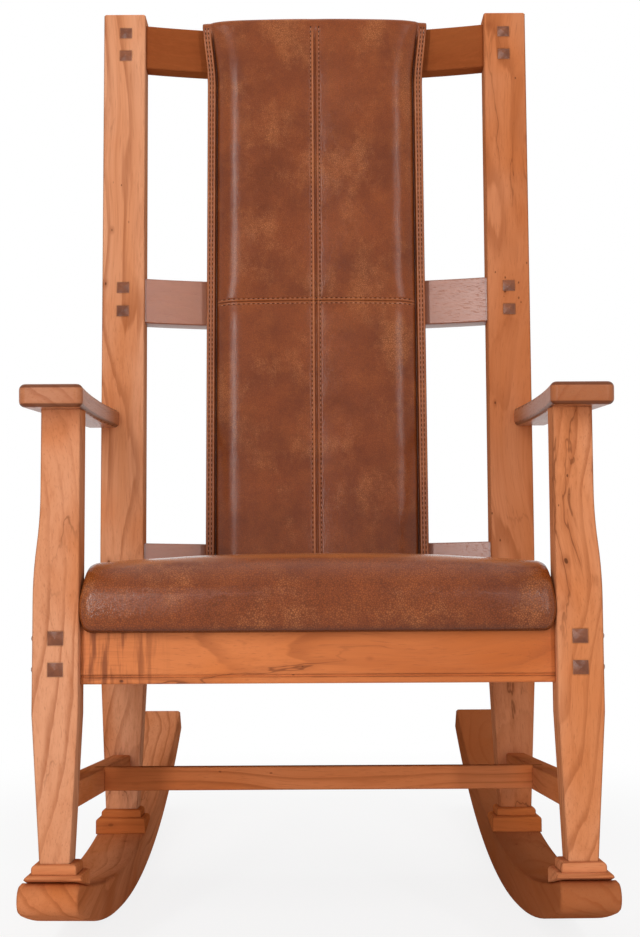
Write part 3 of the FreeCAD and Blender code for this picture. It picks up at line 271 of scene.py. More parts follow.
def lacquered(
    name, along, seed, depth=0.0, shade=0.0, marks=1.0, wear_and_shade=0.55, sheen=0.14, rim=False, flame=None
):
    """A wooden node's own board: its middle is moved near the pith, and its grain turned to run along Z. Its
    edges and inside corners are darkened, partly as handling wear and partly as painted shade. With rim, the
    rolled edges between level and upright faces are painted dark too, a painted reflection; flame gives the
    two places along X between which dark crotch figure sets in."""
    edge_reach, wear_and_shade_brown = 0.0035, paint(80, 38, 20)
    rim_reflection_share, flame_stain, flame_brown = 0.75, 0.75, paint(112, 54, 30)
    material, tree = bare_material(f"lacquered_{name}")
    low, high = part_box(name)
    turn = Vector(along).rotation_difference(Vector((0, 0, 1))).to_euler()
    pith = Vector((math.sin(seed * 2.4) * 0.05 + 0.02, math.cos(seed * 1.7) * 0.05 - 0.03, seed * 0.77))
    shift = pith - turn.to_matrix() @ ((low + high) / 2)
    place = node(tree, "TexCoord").outputs["Object"]
    board = node(tree, "Mapping", {"Vector": place, "Location": shift, "Rotation": turn}).outputs[0]
    figure = node(
        tree, "Group", {"Vector": board, "Depth": depth, "Shade": shade, "Marks": marks}, node_tree=GRAIN
    ).outputs
    edges = node(tree, "Group", {"Vector": board, "Reach": edge_reach}, node_tree=EDGES).outputs["Mask"]
    # Edge darkening: partly handling wear, partly painted shade on rounded arrises and in inside corners.
    wear_and_shade_mask = maths(tree, "MULTIPLY", edges, wear_and_shade)
    # Painted reflection: with rim, the rolled edges are painted dark, standing in for the rounding's dark
    # reflections.
    if rim:
        facing = node(tree, "NewGeometry").outputs["Normal"]
        turned = maths(tree, "ABSOLUTE", node(tree, "SeparateXYZ", {0: facing}).outputs["Z"])
        off_level, off_upright = between(tree, turned, 0.985, 0.93), between(tree, turned, 0.25, 0.5)
        rolling = maths(tree, "MULTIPLY", off_upright, off_level)
        wear_and_shade_mask = maths(tree, "MAXIMUM", wear_and_shade_mask, maths(tree, "MULTIPLY", rolling, rim_reflection_share))
    colour = figure["Color"]
    if flame:
        along_x = node(tree, "SeparateXYZ", {0: place}).outputs["X"]
        licks = between(tree, clouds(tree, stretched(tree, place, 130, 20, 14), 1.0, 3.0, 0.6), 0.42, 0.66)
        crotch = maths(tree, "MULTIPLY", licks, between(tree, along_x, *flame))
        colour = mixed(tree, maths(tree, "MULTIPLY", crotch, flame_stain), colour, flame_brown)
    colour = mixed(tree, wear_and_shade_mask, colour, wear_and_shade_brown)
    bump = node(tree, "Bump", {"Strength": 0.35, "Distance": 0.0006, "Height": figure["Height"]})
    surfaced(tree, {
        "Base Color": colour, "Roughness": figure["Roughness"], "Normal": bump.outputs[0],
        "Specular IOR Level": sheen,
    })
    dressed(name, material)


ROCKER_RUN = (0.0, 1.0, 0.12)
for side, seed, depth, shade in (("left", 3.1, 0.45, 0.08), ("right", 4.1, 0.65, 0.52)):
    lacquered(f"rocker_{side}", ROCKER_RUN, seed, depth=depth, shade=shade, marks=0.5, sheen=0.0)

# Feet
# Two-step blocks under every leg, moulded on all four sides, cut to sit on the rockers and held by dowels.
# Their grain runs across the chair.
ACROSS, STANDING = (1.0, 0.0, 0.0), (0.0, 0.0, 1.0)
for side, front_seed, rear_seed in (("left", 5.3, 7.9), ("right", 6.3, 8.9)):
    lacquered(f"front_foot_{side}", ACROSS, front_seed, depth=0.45, marks=0.4, sheen=0.0)
    lacquered(f"rear_foot_{side}", ACROSS, rear_seed, depth=0.85, shade=0.1, marks=0.4, sheen=0.0)
lacquered("foot_dowels", STANDING, 1.0)

# Front legs and back posts
# Square legs that swell below the arms and taper to the feet, and long posts bent back above the seat.
# Both are sawn from wide boards, with the figure running up their length.
LEG_RUN, POST_RUN = (0.0, -0.09, 1.0), (0.0, 0.14, 1.0)
for side, seed, shade in (("left", 11.2, 0.10), ("right", 13.5, 0.02)):
    lacquered(f"front_leg_{side}", LEG_RUN, seed, depth=0.08, shade=shade, marks=0.8, sheen=0.0)
for side, seed, depth, shade in (("left", 17.6, 0.0, 0.0), ("right", 20.7, 0.42, 0.10)):
    lacquered(f"back_post_{side}", POST_RUN, seed, depth=depth, shade=shade, marks=0.8, sheen=0.0)

# Seat frame
# Four rails tenoned into the legs and posts, with a block glued into each corner. The front rail has a
# bead worked along its lower edge, and a dark crotch figure at its left end.
SIDE_RAIL_RUN, FLAME_PLACES = (0.0, 1.0, -0.09), (-0.15, -0.21)
for side, rail_seed, block_seed in (("left", 23.5, 27.5), ("right", 24.5, 28.5)):
    lacquered(f"side_seat_rail_{side}", SIDE_RAIL_RUN, rail_seed, depth=0.4)
    for end in ("front", "rear"):
        lacquered(f"corner_block_{end}_{side}", ACROSS, block_seed, depth=0.2, marks=0.4, wear_and_shade=0.2)
lacquered(
    "front_seat_rail", ACROSS, 31.4, depth=0.8, shade=0.08, marks=0.9, wear_and_shade=0.9, sheen=0.1, flame=FLAME_PLACES
)
lacquered("rear_seat_rail", ACROSS, 33.9, depth=0.5, marks=0.6)

# Lower stretchers
# A slim stretcher along each side from leg to post, and one across between them, of the frame's wood.
# Their ends are tenons, glued into mortises.
STRETCHER_RUN = (0.0, 1.0, -0.1)
for side, seed in (("left", 37.7), ("right", 38.7)):
    lacquered(f"side_stretcher_{side}", STRETCHER_RUN, seed, depth=0.6, marks=0.5, sheen=0.0)
lacquered("cross_stretcher", ACROSS, 41.3, depth=0.6, marks=0.6, sheen=0.0)

# Back rails
# Three rails sawn to a backward bow and tenoned between the posts. The lower two are polished by the pad
# that leans on them.
for level, seed, sheen in (("lower", 43.7, 0.85), ("middle", 45.6, 0.85), ("top", 47.5, 0.0)):
    lacquered(f"{level}_back_rail", ACROSS, seed, depth=0.9, shade=0.70, marks=0.3, sheen=sheen)

# Arms
# Flat boards, broad in front and hollowed on the inside, doweled on the legs and notched at the posts.
# Their rolled edges are painted dark brown, a painted reflection of dark surroundings on the rounding.
ARM_RUN = (0.0, 1.0, -0.01)
for side, seed, shade in (("left", 53.2, 0.46), ("right", 54.5, 0.56)):
    lacquered(f"arm_{side}", ARM_RUN, seed, depth=0.25, shade=shade, marks=0.3, rim=True)
lacquered("arm_dowels", STANDING, 2.0)


# Pegs
# Square wooden plugs stained darker than the frame and driven across the tenons. Their heads are low
# pyramids that stand proud of the faces.
def peg_stain():
    """End grain of a dark-stained peg: fine speckle, with the pyramid's ridges painted lighter as a painted
    highlight.
    """
    dark, light = paint(108, 58, 34), paint(134, 76, 46)
    speckle_brown, rubbed = paint(70, 38, 24), paint(196, 146, 116)
    ridge_reach = 0.0015
    material, tree = bare_material("peg_stain")
    place = node(tree, "TexCoord").outputs["Object"]
    speckle = clouds(tree, place, 900.0, 2.0)
    drift = clouds(tree, place, 60.0, 2.0)
    edges = node(tree, "Group", {"Vector": place, "Reach": ridge_reach}, node_tree=EDGES).outputs["Mask"]
    colour = mixed(tree, between(tree, drift, 0.3, 0.7), dark, light)
    colour = mixed(tree, maths(tree, "MULTIPLY", between(tree, speckle, 0.5, 0.8), 0.5), colour, speckle_brown)
    # Painted highlight: the pyramid's ridges are painted pale.
    colour = mixed(tree, maths(tree, "MULTIPLY", edges, 0.45), colour, rubbed)
    bump = node(tree, "Bump", {"Strength": 0.3, "Distance": 0.0004, "Height": speckle})
    surfaced(tree, {
        "Base Color": colour, "Roughness": maths(tree, "MULTIPLY_ADD", drift, 0.14, 0.26),
        "Normal": bump.outputs[0], "Specular IOR Level": 0.35,
    })
    return material


PEG = peg_stain()
for row in ("front_rail", "side_rail", "middle_rail", "top_rail"):
    dressed(f"{row}_pegs", PEG)

# Seat board
# A plain wooden panel that rests on the rails and corner blocks and carries the cushion. It is hidden
# except from below, so it has few marks and little wear.
lacquered("seat_board", ACROSS, 61.0, marks=0.2, wear_and_shade=0.2)


# Seat cushion
# Foam under one piece of pebbled brown leather, rolled over the front and drawn down under the board.
# It is crowned in the middle, and its level top is painted paler tan, painted light from above.
def leather_grain():
    """Pebbled hide: small cells with dark valleys, partly the dye and partly painted shade, paler rubbed
    tops, broad clouds of tone, scuffs, and shallow puckers that stand up the height of a panel."""
    dark_dye, light_dye, tan = paint(116, 52, 16), paint(138, 66, 24), paint(158, 84, 36)
    rubbed_tan, valley = paint(188, 116, 66), paint(72, 32, 12)
    pebbles_per_metre, wander = 430.0, 0.0022
    tree, given, out = effect(
        "leather_grain", [("Vector", "Vector"), ("Rubbed", "Float"), ("Pebble", "Float")],
        [("Color", "Color"), ("Roughness", "Float"), ("Height", "Float")],
    )
    hide = given["Vector"]
    bent = node(tree, "TexNoise", {"Vector": hide, "Scale": 160.0, "Detail": 2.0}).outputs["Color"]
    wandering = node(
        tree, "VectorMath", {0: bent, 1: (wander, wander, wander), 2: hide}, operation="MULTIPLY_ADD"
    ).outputs[0]
    cells = node(
        tree, "TexVoronoi", {"Vector": wandering, "Scale": pebbles_per_metre}, feature="DISTANCE_TO_EDGE"
    )
    dome = between(tree, cells.outputs["Distance"], 0.0, 0.24)
    fine = clouds(tree, hide, 1500.0, 2.0)
    tone = clouds(tree, hide, 13.0, 5.0, 0.62)
    small = clouds(tree, hide, 34.0, 4.0, 0.6)
    scuff = clouds(tree, stretched(tree, hide, 1, 1, 0.7), 14.0, 6.0, 0.68)
    pucker = clouds(tree, stretched(tree, hide, 1, 1, 0.4), 32.0, 2.0)
    colour = mixed(tree, between(tree, tone, 0.30, 0.66), dark_dye, light_dye)
    tan_share = maths(tree, "MULTIPLY", between(tree, small, 0.40, 0.75), 0.35)
    colour = mixed(tree, tan_share, colour, tan)
    rub = maths(tree, "MULTIPLY", between(tree, scuff, 0.48, 0.70), given["Rubbed"])
    rubbed_tops = maths(tree, "MULTIPLY", rub, maths(tree, "MULTIPLY_ADD", dome, 0.6, 0.4))
    colour = mixed(tree, rubbed_tops, colour, rubbed_tan)
    # Darker pebble valleys: partly the hide's dye, partly painted shade standing in for the relief.
    valley_dye_and_shade = maths(tree, "MULTIPLY", maths(tree, "SUBTRACT", 1.0, dome), given["Pebble"])
    colour = mixed(tree, maths(tree, "MULTIPLY", valley_dye_and_shade, 0.60), colour, valley)
    tree.links.new(colour, out["Color"])
    gloss = maths(tree, "MULTIPLY_ADD", tone, 0.12, 0.10)
    tree.links.new(maths(tree, "MULTIPLY_ADD", rub, 0.10, gloss), out["Roughness"])
    raised = maths(tree, "MULTIPLY_ADD", pucker, 2.2, maths(tree, "MULTIPLY", dome, given["Pebble"]))
    tree.links.new(maths(tree, "MULTIPLY_ADD", fine, 0.18, raised), out["Height"])
    return tree


HIDE = leather_grain()


def brown_leather(name, pebble, relief, painted_top_light=False):
    """A hide of the one dye lot, more or less pebbled, with painted shade where the mesh's seam attribute is
    high and a painted highlight where its ridge attribute is high; asked to, it paints the faces that lie
    level paler, as painted light from above."""
    seam_shade_brown, ridge_highlight_tan, top_light_tan = paint(62, 28, 15), paint(196, 118, 70), paint(178, 110, 66)
    material, tree = bare_material(name)
    place = node(tree, "TexCoord").outputs["Object"]
    grain = node(tree, "Group", {"Vector": place, "Rubbed": 0.5, "Pebble": pebble}, node_tree=HIDE).outputs
    seam = node(tree, "Attribute", attribute_name="seam").outputs["Fac"]
    ridge = node(tree, "Attribute", attribute_name="ridge").outputs["Fac"]
    colour = mixed(tree, ridge, mixed(tree, seam, grain["Color"], seam_shade_brown), ridge_highlight_tan)
    # Painted light: faces that lie level are painted paler tan, as if lit from above.
    if painted_top_light:
        level = node(tree, "SeparateXYZ", {0: node(tree, "NewGeometry").outputs["Normal"]}).outputs["Z"]
        flat = maths(tree, "MULTIPLY", between(tree, level, 0.90, 0.985), 0.5)
        colour = mixed(tree, flat, colour, top_light_tan)
    bump = node(tree, "Bump", {"Strength": relief, "Distance": 0.0007, "Height": grain["Height"]})
    surfaced(tree, {
        "Base Color": colour, "Roughness": grain["Roughness"], "Normal": bump.outputs[0],
        "Specular IOR Level": 0.27,
    })
    return material


REST_TILT = math.radians(5)
BOARD_FRONT, BOARD_TOP, BOARD_THICK = 0.017, 0.3525, 0.015
board_low, board_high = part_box("seat_board")
BENCH_TURN = Euler((-REST_TILT, 0, 0)).to_matrix()
board_edge = BENCH_TURN @ Vector((0, BOARD_FRONT, BOARD_TOP))
board_foot = BENCH_TURN @ Vector((0, BOARD_FRONT, BOARD_TOP - BOARD_THICK))
BENCH_SHIFT = np.array([0, board_low.y - board_foot.y, board_high.z - board_edge.z])
BENCH_UP = np.array(BENCH_TURN) @ np.array([0, 0, 1.0])


def set_down(points):
    """Points of the square frame on the bench, leaned back as the chair rests on the floor."""
    return points @ np.array(BENCH_TURN).T + BENCH_SHIFT


def skin(name, points, faces):
    """A mesh object of the given points and faces, linked to the scene."""
    mesh = bpy.data.meshes.new(name)
    mesh.from_pydata(points.reshape(-1, 3).tolist(), [], faces)
    mesh.update()
    piece = bpy.data.objects.new(name, mesh)
    bpy.context.scene.collection.objects.link(piece)
    return piece


def lattice(rows, columns, start=0, around=False):
    """Quads of a grid of rows by columns numbered row by row from start; around joins each row to itself."""
    r = np.arange(rows - 1)[:, None]
    c = np.arange(columns if around else columns - 1)[None, :]
    n = (c + 1) % columns
    quads = np.stack([r * columns + c, r * columns + n, (r + 1) * columns + n, (r + 1) * columns + c], -1)
    return (quads.reshape(-1, 4) + start).tolist()


def outward(piece):
    """Merges doubles and turns every face of a closed shell outwards."""
    work = bmesh.new()
    work.from_mesh(piece.data)
    bmesh.ops.remove_doubles(work, verts=work.verts, dist=1e-6)
    bmesh.ops.recalc_face_normals(work, faces=work.faces)
    work.to_mesh(piece.data)
    work.free()


def marked(piece, name, values):
    """Gives every point of a piece a value that its material reads by name."""
    piece.data.attributes.new(name, "FLOAT", "POINT").data.foreach_set("value", values.astype(np.float32))


CUSHION_HALF, CUSHION_FRONT, CUSHION_REAR = 0.2575, -0.0085, 0.4385
CUSHION_LOW, CUSHION_RIM, CUSHION_TOP = 0.3265, 0.3530, 0.4125
FRONT_ROLL, REAR_ROLL, SIDE_ROLL, UNDER_ROLL = 0.056, 0.034, 0.009, 0.011
CROWN, REAR_FALL, PLAN_CORNER = 0.0085, 0.010, 0.010


def rolled(inset, roll):
    """Quarter of a circle: 0 at the edge, 1 from one roll inwards."""
    return np.sqrt(1 - (1 - np.clip(inset / roll, 0, 1)) ** 2)


def cushion_form(rows=120, columns=150):
    """Two sheets that meet along the rim. The upper one rises over wide rolls to a top crowned by a parabola
    and falling to the rear, and the lower one turns in over a narrow roll; both lie on one plan with rounded
    corners."""
    share = (1 - np.cos(np.pi * np.linspace(0, 1, rows)[:, None])) / 2
    y = CUSHION_FRONT + (CUSHION_REAR - CUSHION_FRONT) * share
    ahead, behind = y - CUSHION_FRONT, CUSHION_REAR - y
    half = CUSHION_HALF - PLAN_CORNER * (1 - rolled(np.minimum(ahead, behind), PLAN_CORNER))
    x = half * np.sin(np.pi / 2 * np.linspace(-1, 1, columns))[None, :]
    beside = half - np.abs(x)
    over = rolled(beside, SIDE_ROLL) * rolled(ahead, FRONT_ROLL) * rolled(behind, REAR_ROLL)
    under = rolled(beside, UNDER_ROLL) * rolled(ahead, UNDER_ROLL) * rolled(behind, UNDER_ROLL)
    top = CUSHION_TOP - CROWN * (x / CUSHION_HALF) ** 2 - REAR_FALL * np.clip(y / CUSHION_REAR, 0, 1) ** 2
    upper = np.stack([x, y + 0 * x, CUSHION_RIM + (top - CUSHION_RIM) * over], -1)
    lower = np.stack([x, y + 0 * x, CUSHION_RIM - (CUSHION_RIM - CUSHION_LOW) * under], -1)
    return set_down(np.stack([upper, lower])), rows, columns


def places(mesh):
    """The points of a mesh as an array."""
    flat = np.empty(len(mesh.vertices) * 3, np.float32)
    mesh.vertices.foreach_get("co", flat)
    return flat.reshape(-1, 3)


def blown(piece, held, stiffness, pressure, frames=20, **settings):
    """Blows a mesh up as cloth with the held points fixed, and gives where its points come to rest."""
    pins = piece.vertex_groups.new(name="held")
    pins.add(np.flatnonzero(held).tolist(), 1.0, "REPLACE")
    filling = piece.modifiers.new("filling", "CLOTH")
    filling.point_cache.frame_start, filling.point_cache.frame_end = 1, frames
    cloth = filling.settings
    cloth.quality = 6
    cloth.tension_stiffness = cloth.compression_stiffness = stiffness
    cloth.use_pressure = True
    cloth.uniform_pressure_force = pressure
    cloth.vertex_group_mass = "held"
    cloth.effector_weights.gravity = 0
    for name, value in settings.items():
        setattr(cloth, name, value)
    for moment in range(1, frames + 1):
        bpy.context.scene.frame_set(moment)
    rest = places(piece.evaluated_get(bpy.context.evaluated_depsgraph_get()).to_mesh())
    piece.modifiers.clear()
    piece.vertex_groups.clear()
    bpy.context.scene.frame_set(1)
    return rest


CUSHION_VOXEL, CUSHION_PRESSURE, CUSHION_CAP, EVENING = 0.0045, 3.0, 0.003, 60
HELD_BELOW, HELD_BESIDE = 0.008, 0.005


def over_seat(points, level):
    """Height of points over a level of the cushion, square to the seat board."""
    return (points - set_down(np.array([[0.0, 0.2, level]]))[0]) @ BENCH_UP


def filled(piece):
    """Remeshes the closed form, blows it up as cloth held by its underside and flanks, caps how far a point
    moves, and evens the moves out between neighbours, as foam does under the leather."""
    remesh = piece.modifiers.new("even_mesh", "REMESH")
    remesh.mode, remesh.voxel_size, remesh.use_smooth_shade = "VOXEL", CUSHION_VOXEL, True
    mesh = bpy.data.meshes.new_from_object(piece.evaluated_get(bpy.context.evaluated_depsgraph_get()))
    piece.modifiers.clear()
    piece.data = mesh
    start = places(mesh).astype(float)
    underside = over_seat(start, CUSHION_LOW + HELD_BELOW) < 0
    flanks = np.abs(start[:, 0]) > CUSHION_HALF - HELD_BESIDE
    move = blown(piece, underside | flanks, 25, CUSHION_PRESSURE, mass=0.4, bending_stiffness=30) - start
    far = np.linalg.norm(move, axis=1, keepdims=True)
    move = move * np.minimum(1, CUSHION_CAP / np.maximum(far, 1e-9))
    ends = np.empty(len(mesh.edges) * 2, np.int32)
    mesh.edges.foreach_get("vertices", ends)
    one, other = ends.reshape(-1, 2).T
    joined = np.bincount(ends, minlength=len(start))[:, None]
    for _ in range(EVENING):
        near = np.zeros_like(move)
        np.add.at(near, one, move[other])
        np.add.at(near, other, move[one])
        move = (move + near / joined) / 2
    return start + move


# Painted shadow: the leather is painted darker towards its lower edge, where it overhangs the front rail.
UNDERSIDE_SHADE, UNDERSIDE_SHADE_REACH = 0.85, 0.0045
points, rows, columns = cushion_form()
cushion = skin("seat_cushion_leather", points, lattice(rows, columns) + lattice(rows, columns, rows * columns))
outward(cushion)
shape = filled(cushion)
cushion.data.vertices.foreach_set("co", shape.astype(np.float32).ravel())
cushion.data.update()
marked(cushion, "seam", UNDERSIDE_SHADE * np.exp(-(over_seat(shape, CUSHION_LOW) / UNDERSIDE_SHADE_REACH) ** 2))
smooth = cushion.modifiers.new("rounded", "SUBSURF")
smooth.levels = smooth.render_levels = 1
cushion.data.materials.append(brown_leather("seat_leather", pebble=1.0, relief=0.13, painted_top_light=True))
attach(cushion, "root")
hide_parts("seat_cushion", "seat_foam")

# Back pad
# A thin foam pad in a leather sleeve, sewn from four panels with double-stitched seams, edged by a flange
# with two rows of stitches. Its top end forms a hood that hooks over the top rail.
POST_BEND = np.array([0.0, 0.459, 0.400])
LEAN = math.radians(3)
PAD_LOW, HOOD_LOW, RAIL_TOP, PAD_TOP = -0.0435, 0.731, 0.795, 0.803
PAD_HALF, HOOD_HALF, RAIL_REACH = 0.153, 0.161, 0.262
RAIL_FRONT, RAIL_BOW, RAIL_THICK = 0.004, 0.034, 0.026
FLANGE_D, CREASE_D, BULGE, HOLLOW = 0.006, 0.011, 0.011, 0.0025
CREASE_E, CREASE_WIDE, SHOULDER, EDGE_ROUND = 0.0137, 0.0016, 0.031, 0.0022
FLANGE_ROWS, SEAM_ROW, SEAM_ACROSS = (0.0040, 0.0079), 0.0058, 0.0037
SEAM_LEVEL, SEAM_ARCH, PRESSED = 0.3865, 0.0032, 0.135
HOOD_ROUND, FLAP, FLAP_LOW = 0.007, 0.003, 0.739
PAD_THICK_GAP, HOOD_SAG = 0.0006, 0.0050


def on_back(x, d, w):
    """A point of the leaning back: x across, d back from the posts' front faces, w up along them."""
    y = POST_BEND[1] + d * math.cos(LEAN) + w * math.sin(LEAN)
    z = POST_BEND[2] - d * math.sin(LEAN) + w * math.cos(LEAN)
    return set_down(np.stack(np.broadcast_arrays(x, y, z), -1))


def dent(distance, width):
    """A bell of height 1 and the given half-width."""
    return np.exp(-(distance / width) ** 2)


def step(value, low, high):
    """0 below low, 1 above high, smooth between."""
    t = np.clip((value - low) / (high - low), 0, 1)
    return t * t * (3 - 2 * t)


def rail_face(x):
    """Front of the bowed rails behind the pad: a parabola, deepest in the middle."""
    return RAIL_FRONT + RAIL_BOW * (1 - (x / RAIL_REACH) ** 2)


def pad_half(w):
    """Half width of the pad, flaring where the hood goes round the top rail."""
    return PAD_HALF + (HOOD_HALF - PAD_HALF) * step(w, HOOD_LOW - 0.03, PAD_TOP)


def across_seam(x):
    """Height of the seam across the pad: a shallow arch."""
    return SEAM_LEVEL - SEAM_ARCH * (x / PAD_HALF) ** 2


def below_hood(w):
    """1 down the face, fading to 0 near the top of the hood, where creases and seams are pulled flat."""
    return 1 - step(w, PAD_TOP - 0.034, PAD_TOP - 0.012)


def pad_front(x, w, puff):
    """Depth of the pad's face. From the edge inwards: a rounded rim, three ridges parted by two stitched
    grooves, a deep crease, a quarter-round shoulder, and a hollowed panel with a seam down its middle and
    one across it; puff is how far the filling pushes the panels out."""
    seam_pull, press, hood_flat, hood_crease = 0.25, 0.20, 0.5, 0.006
    edge, level, plain = pad_half(w) - np.abs(x), w - across_seam(x), below_hood(w)
    full = 1 - seam_pull * dent(level, 0.016) - hood_flat * step(w, HOOD_LOW - 0.02, PAD_TOP)
    full = full - press * dent(w - PRESSED, 0.036)
    rise = np.clip((edge - CREASE_E) / SHOULDER, 0, 1)
    shoulder = np.sqrt(1 - (1 - rise) ** 2)
    crease = CREASE_D - hood_crease * (1 - plain)
    face = FLANGE_D - BULGE * full
    inner = np.clip(1 - (x / (PAD_HALF - CREASE_E - SHOULDER)) ** 2, 0, 1)
    panel = crease + (face - crease) * shoulder + HOLLOW * full * inner - puff

    groove, groove_wide = 0.0011, 0.0007
    flange = FLANGE_D + (crease - FLANGE_D) * dent(edge - CREASE_E, CREASE_WIDE)
    flange = flange + EDGE_ROUND - np.sqrt(EDGE_ROUND ** 2 - np.clip(EDGE_ROUND - edge, 0, EDGE_ROUND) ** 2)
    flange = flange + groove * plain * sum(dent(edge - row, groove_wide) for row in FLANGE_ROWS)
    depth = np.where(edge < CREASE_E, flange, panel)

    seam_wide, upright_cut, upright_row, valley, ridge = 0.0011, 0.0014, 0.0008, 0.0004, 0.0009
    upright = upright_cut * dent(x, seam_wide) + upright_row * dent(np.abs(x) - SEAM_ROW, seam_wide)
    upright = upright + valley * dent(x, 0.010) - ridge * dent(np.abs(x) - 0.0033, 0.0013)
    across_cut, across_row = 0.0017, 0.0007
    across = across_cut * dent(level, seam_wide) + across_row * dent(np.abs(level) - SEAM_ACROSS, seam_wide)
    inside = step(edge, CREASE_E, CREASE_E + 0.006)
    return depth + inside * (upright * plain + across)


def seam_shade(x, w):
    """Painted shade: how much darker the leather is painted in the crease, the stitched grooves and the seams.
    """
    edge = pad_half(w) - np.abs(x)
    crease = dent(edge - CREASE_E, 0.0020)
    rows = sum(dent(edge - row, 0.0008) for row in FLANGE_ROWS)
    seams = step(edge, CREASE_E, CREASE_E + 0.004) * (dent(x, 0.0012) + dent(w - across_seam(x), 0.0012))
    return below_hood(w) * np.clip(0.9 * crease + 0.45 * rows + 0.40 * seams, 0, 1)


def ridge_highlight(x, w):
    """Painted highlight: how much paler the ridges beside the seams and between the flange's stitches are
    painted, most on the left ridge of the upright seam.
    """
    edge, level = pad_half(w) - np.abs(x), w - across_seam(x)
    flange = dent(edge - 0.0017, 0.0010) + dent(edge - 0.0060, 0.0009) + dent(edge - 0.0100, 0.0009)
    upright = dent(x + 0.0036, 0.0012) + 0.35 * dent(x - 0.0036, 0.0011)
    across = 0.75 * dent(level - 0.0019, 0.0009) + 0.55 * dent(level + 0.0019, 0.0009)
    seams = step(edge, CREASE_E, CREASE_E + 0.004) * (upright + across)
    return below_hood(w) * np.clip(0.5 * flange + 0.6 * seams, 0, 1)


def panel_puff(columns=56, rows=150):
    """How far the stuffing pushes the sewn panels out: a flat sheet over the pad's face, held along its
    crease and its seams, blown out as cloth. Gives the sheet's x and w lines and the push at each point."""
    reach, held_by_seam, pressure, softened, most = PAD_HALF - CREASE_E, 0.003, 4.0, 0.38, 0.006
    x, w = np.linspace(-reach, reach, columns), np.linspace(PAD_LOW, PAD_TOP, rows)
    grid_x, grid_w = np.meshgrid(x, w)
    sheet = skin("panel_sheet", np.stack([grid_x, np.zeros_like(grid_x), grid_w], -1), lattice(rows, columns))
    rim = np.abs(grid_x) > reach - 1e-6
    ends = (grid_w < PAD_LOW + 1e-6) | (grid_w > PAD_TOP - 1e-6)
    seams = (np.abs(grid_x) < held_by_seam) | (np.abs(grid_w - across_seam(grid_x)) < held_by_seam)
    rest = blown(sheet, (rim | ends | seams).ravel(), 30, pressure, bending_stiffness=20, shrink_min=-0.002)
    bpy.data.objects.remove(sheet)
    return x, w, np.clip(softened * np.abs(rest.reshape(rows, columns, 3)[..., 1]), 0, most)


sheet_x, sheet_w, sheet_push = panel_puff()


def pushed(x, w):
    """The stuffing's push at any point of the face, read between the sheet's lines."""
    u = np.clip((x - sheet_x[0]) / (sheet_x[1] - sheet_x[0]), 0, len(sheet_x) - 1.001)
    v = np.clip((w - sheet_w[0]) / (sheet_w[1] - sheet_w[0]), 0, len(sheet_w) - 1.001)
    i, j = u.astype(int), v.astype(int)
    a, b = u - i, v - j
    low = sheet_push[j, i] * (1 - a) + sheet_push[j, i + 1] * a
    high = sheet_push[j + 1, i] * (1 - a) + sheet_push[j + 1, i + 1] * a
    return low * (1 - b) + high * b


def spaced(low, high, pitch, *fine):
    """Even stations from low to high, and closer ones round each (place, reach, pitch) in fine."""
    lines = [np.linspace(low, high, int((high - low) / pitch) + 1)]
    lines += [np.arange(place - reach, place + reach, near) for place, reach, near in fine]
    line = np.unique(np.round(np.concatenate(lines), 5))
    return line[(line >= low) & (line <= high)]


def pad_sleeve():
    """The sleeve as a thick sheet: an outer skin that runs up the face, over the top and down the flap, and an
    inner skin against the rails that keeps the same rows and columns."""
    pitch, edge_lines, seam_lines = 0.0048, (0.018, 0.0006), (0.009, 0.0006)
    inset = spaced(
        0.0, 2 * PAD_HALF, pitch, (PAD_HALF, *seam_lines), (0.0, *edge_lines), (2 * PAD_HALF, *edge_lines)
    )
    climb = spaced(PAD_LOW, PAD_TOP - HOOD_ROUND - HOOD_SAG, pitch, (SEAM_LEVEL, *seam_lines))
    x = (inset / PAD_HALF - 1)[None, :] * pad_half(climb)[:, None]
    face = pad_front(x, climb[:, None], pushed(x, climb[:, None] + 0 * x))
    front = np.stack([x, face, climb[:, None] + 0 * x], -1)

    def carried(d, w):
        """A strip that keeps the brow's places across, at the given depths and heights."""
        return np.stack(np.broadcast_arrays(brow_x, d, w), -1)

    brow_x, brow_d = x[-1], face[-1]
    back_d = rail_face(brow_x) + RAIL_THICK + FLAP
    crest = PAD_TOP - HOOD_SAG * (brow_x / HOOD_HALF) ** 2
    bend = np.linspace(0, np.pi / 2, 9)[1:, None]
    way = np.linspace(0, 1, 12)[1:, None]
    drop = np.linspace(PAD_TOP - HOOD_ROUND, FLAP_LOW, 20)[1:, None]
    over_front = carried(
        brow_d + HOOD_ROUND * (1 - np.cos(bend)), crest - HOOD_ROUND + HOOD_ROUND * np.sin(bend)
    )
    over_top = carried(brow_d + HOOD_ROUND + (back_d - brow_d - 2 * HOOD_ROUND) * way, crest + 0 * way)
    over_back = carried(
        back_d - HOOD_ROUND + HOOD_ROUND * np.sin(bend), crest - HOOD_ROUND + HOOD_ROUND * np.cos(bend)
    )
    flap = carried(back_d + 0 * drop, drop + 0 * brow_x)
    outer = np.concatenate([front, over_front, over_top, over_back, flap])

    lining_top = RAIL_TOP + PAD_THICK_GAP
    rise = PAD_LOW + (lining_top - PAD_LOW) * (climb - climb[0]) / (climb[-1] - climb[0])
    behind = np.stack([x, rail_face(x) - PAD_THICK_GAP, rise[:, None] + 0 * x], -1)
    count = len(over_front) + len(over_top) + len(over_back)
    way = (np.arange(count)[:, None] + 1) / count
    inside_d = rail_face(brow_x) - PAD_THICK_GAP
    outside_d = rail_face(brow_x) + RAIL_THICK + PAD_THICK_GAP
    over = carried(inside_d + (outside_d - inside_d) * way, lining_top)
    lining = carried(outside_d + 0 * drop, drop + 0 * brow_x)
    return outer, np.concatenate([behind, over, lining])


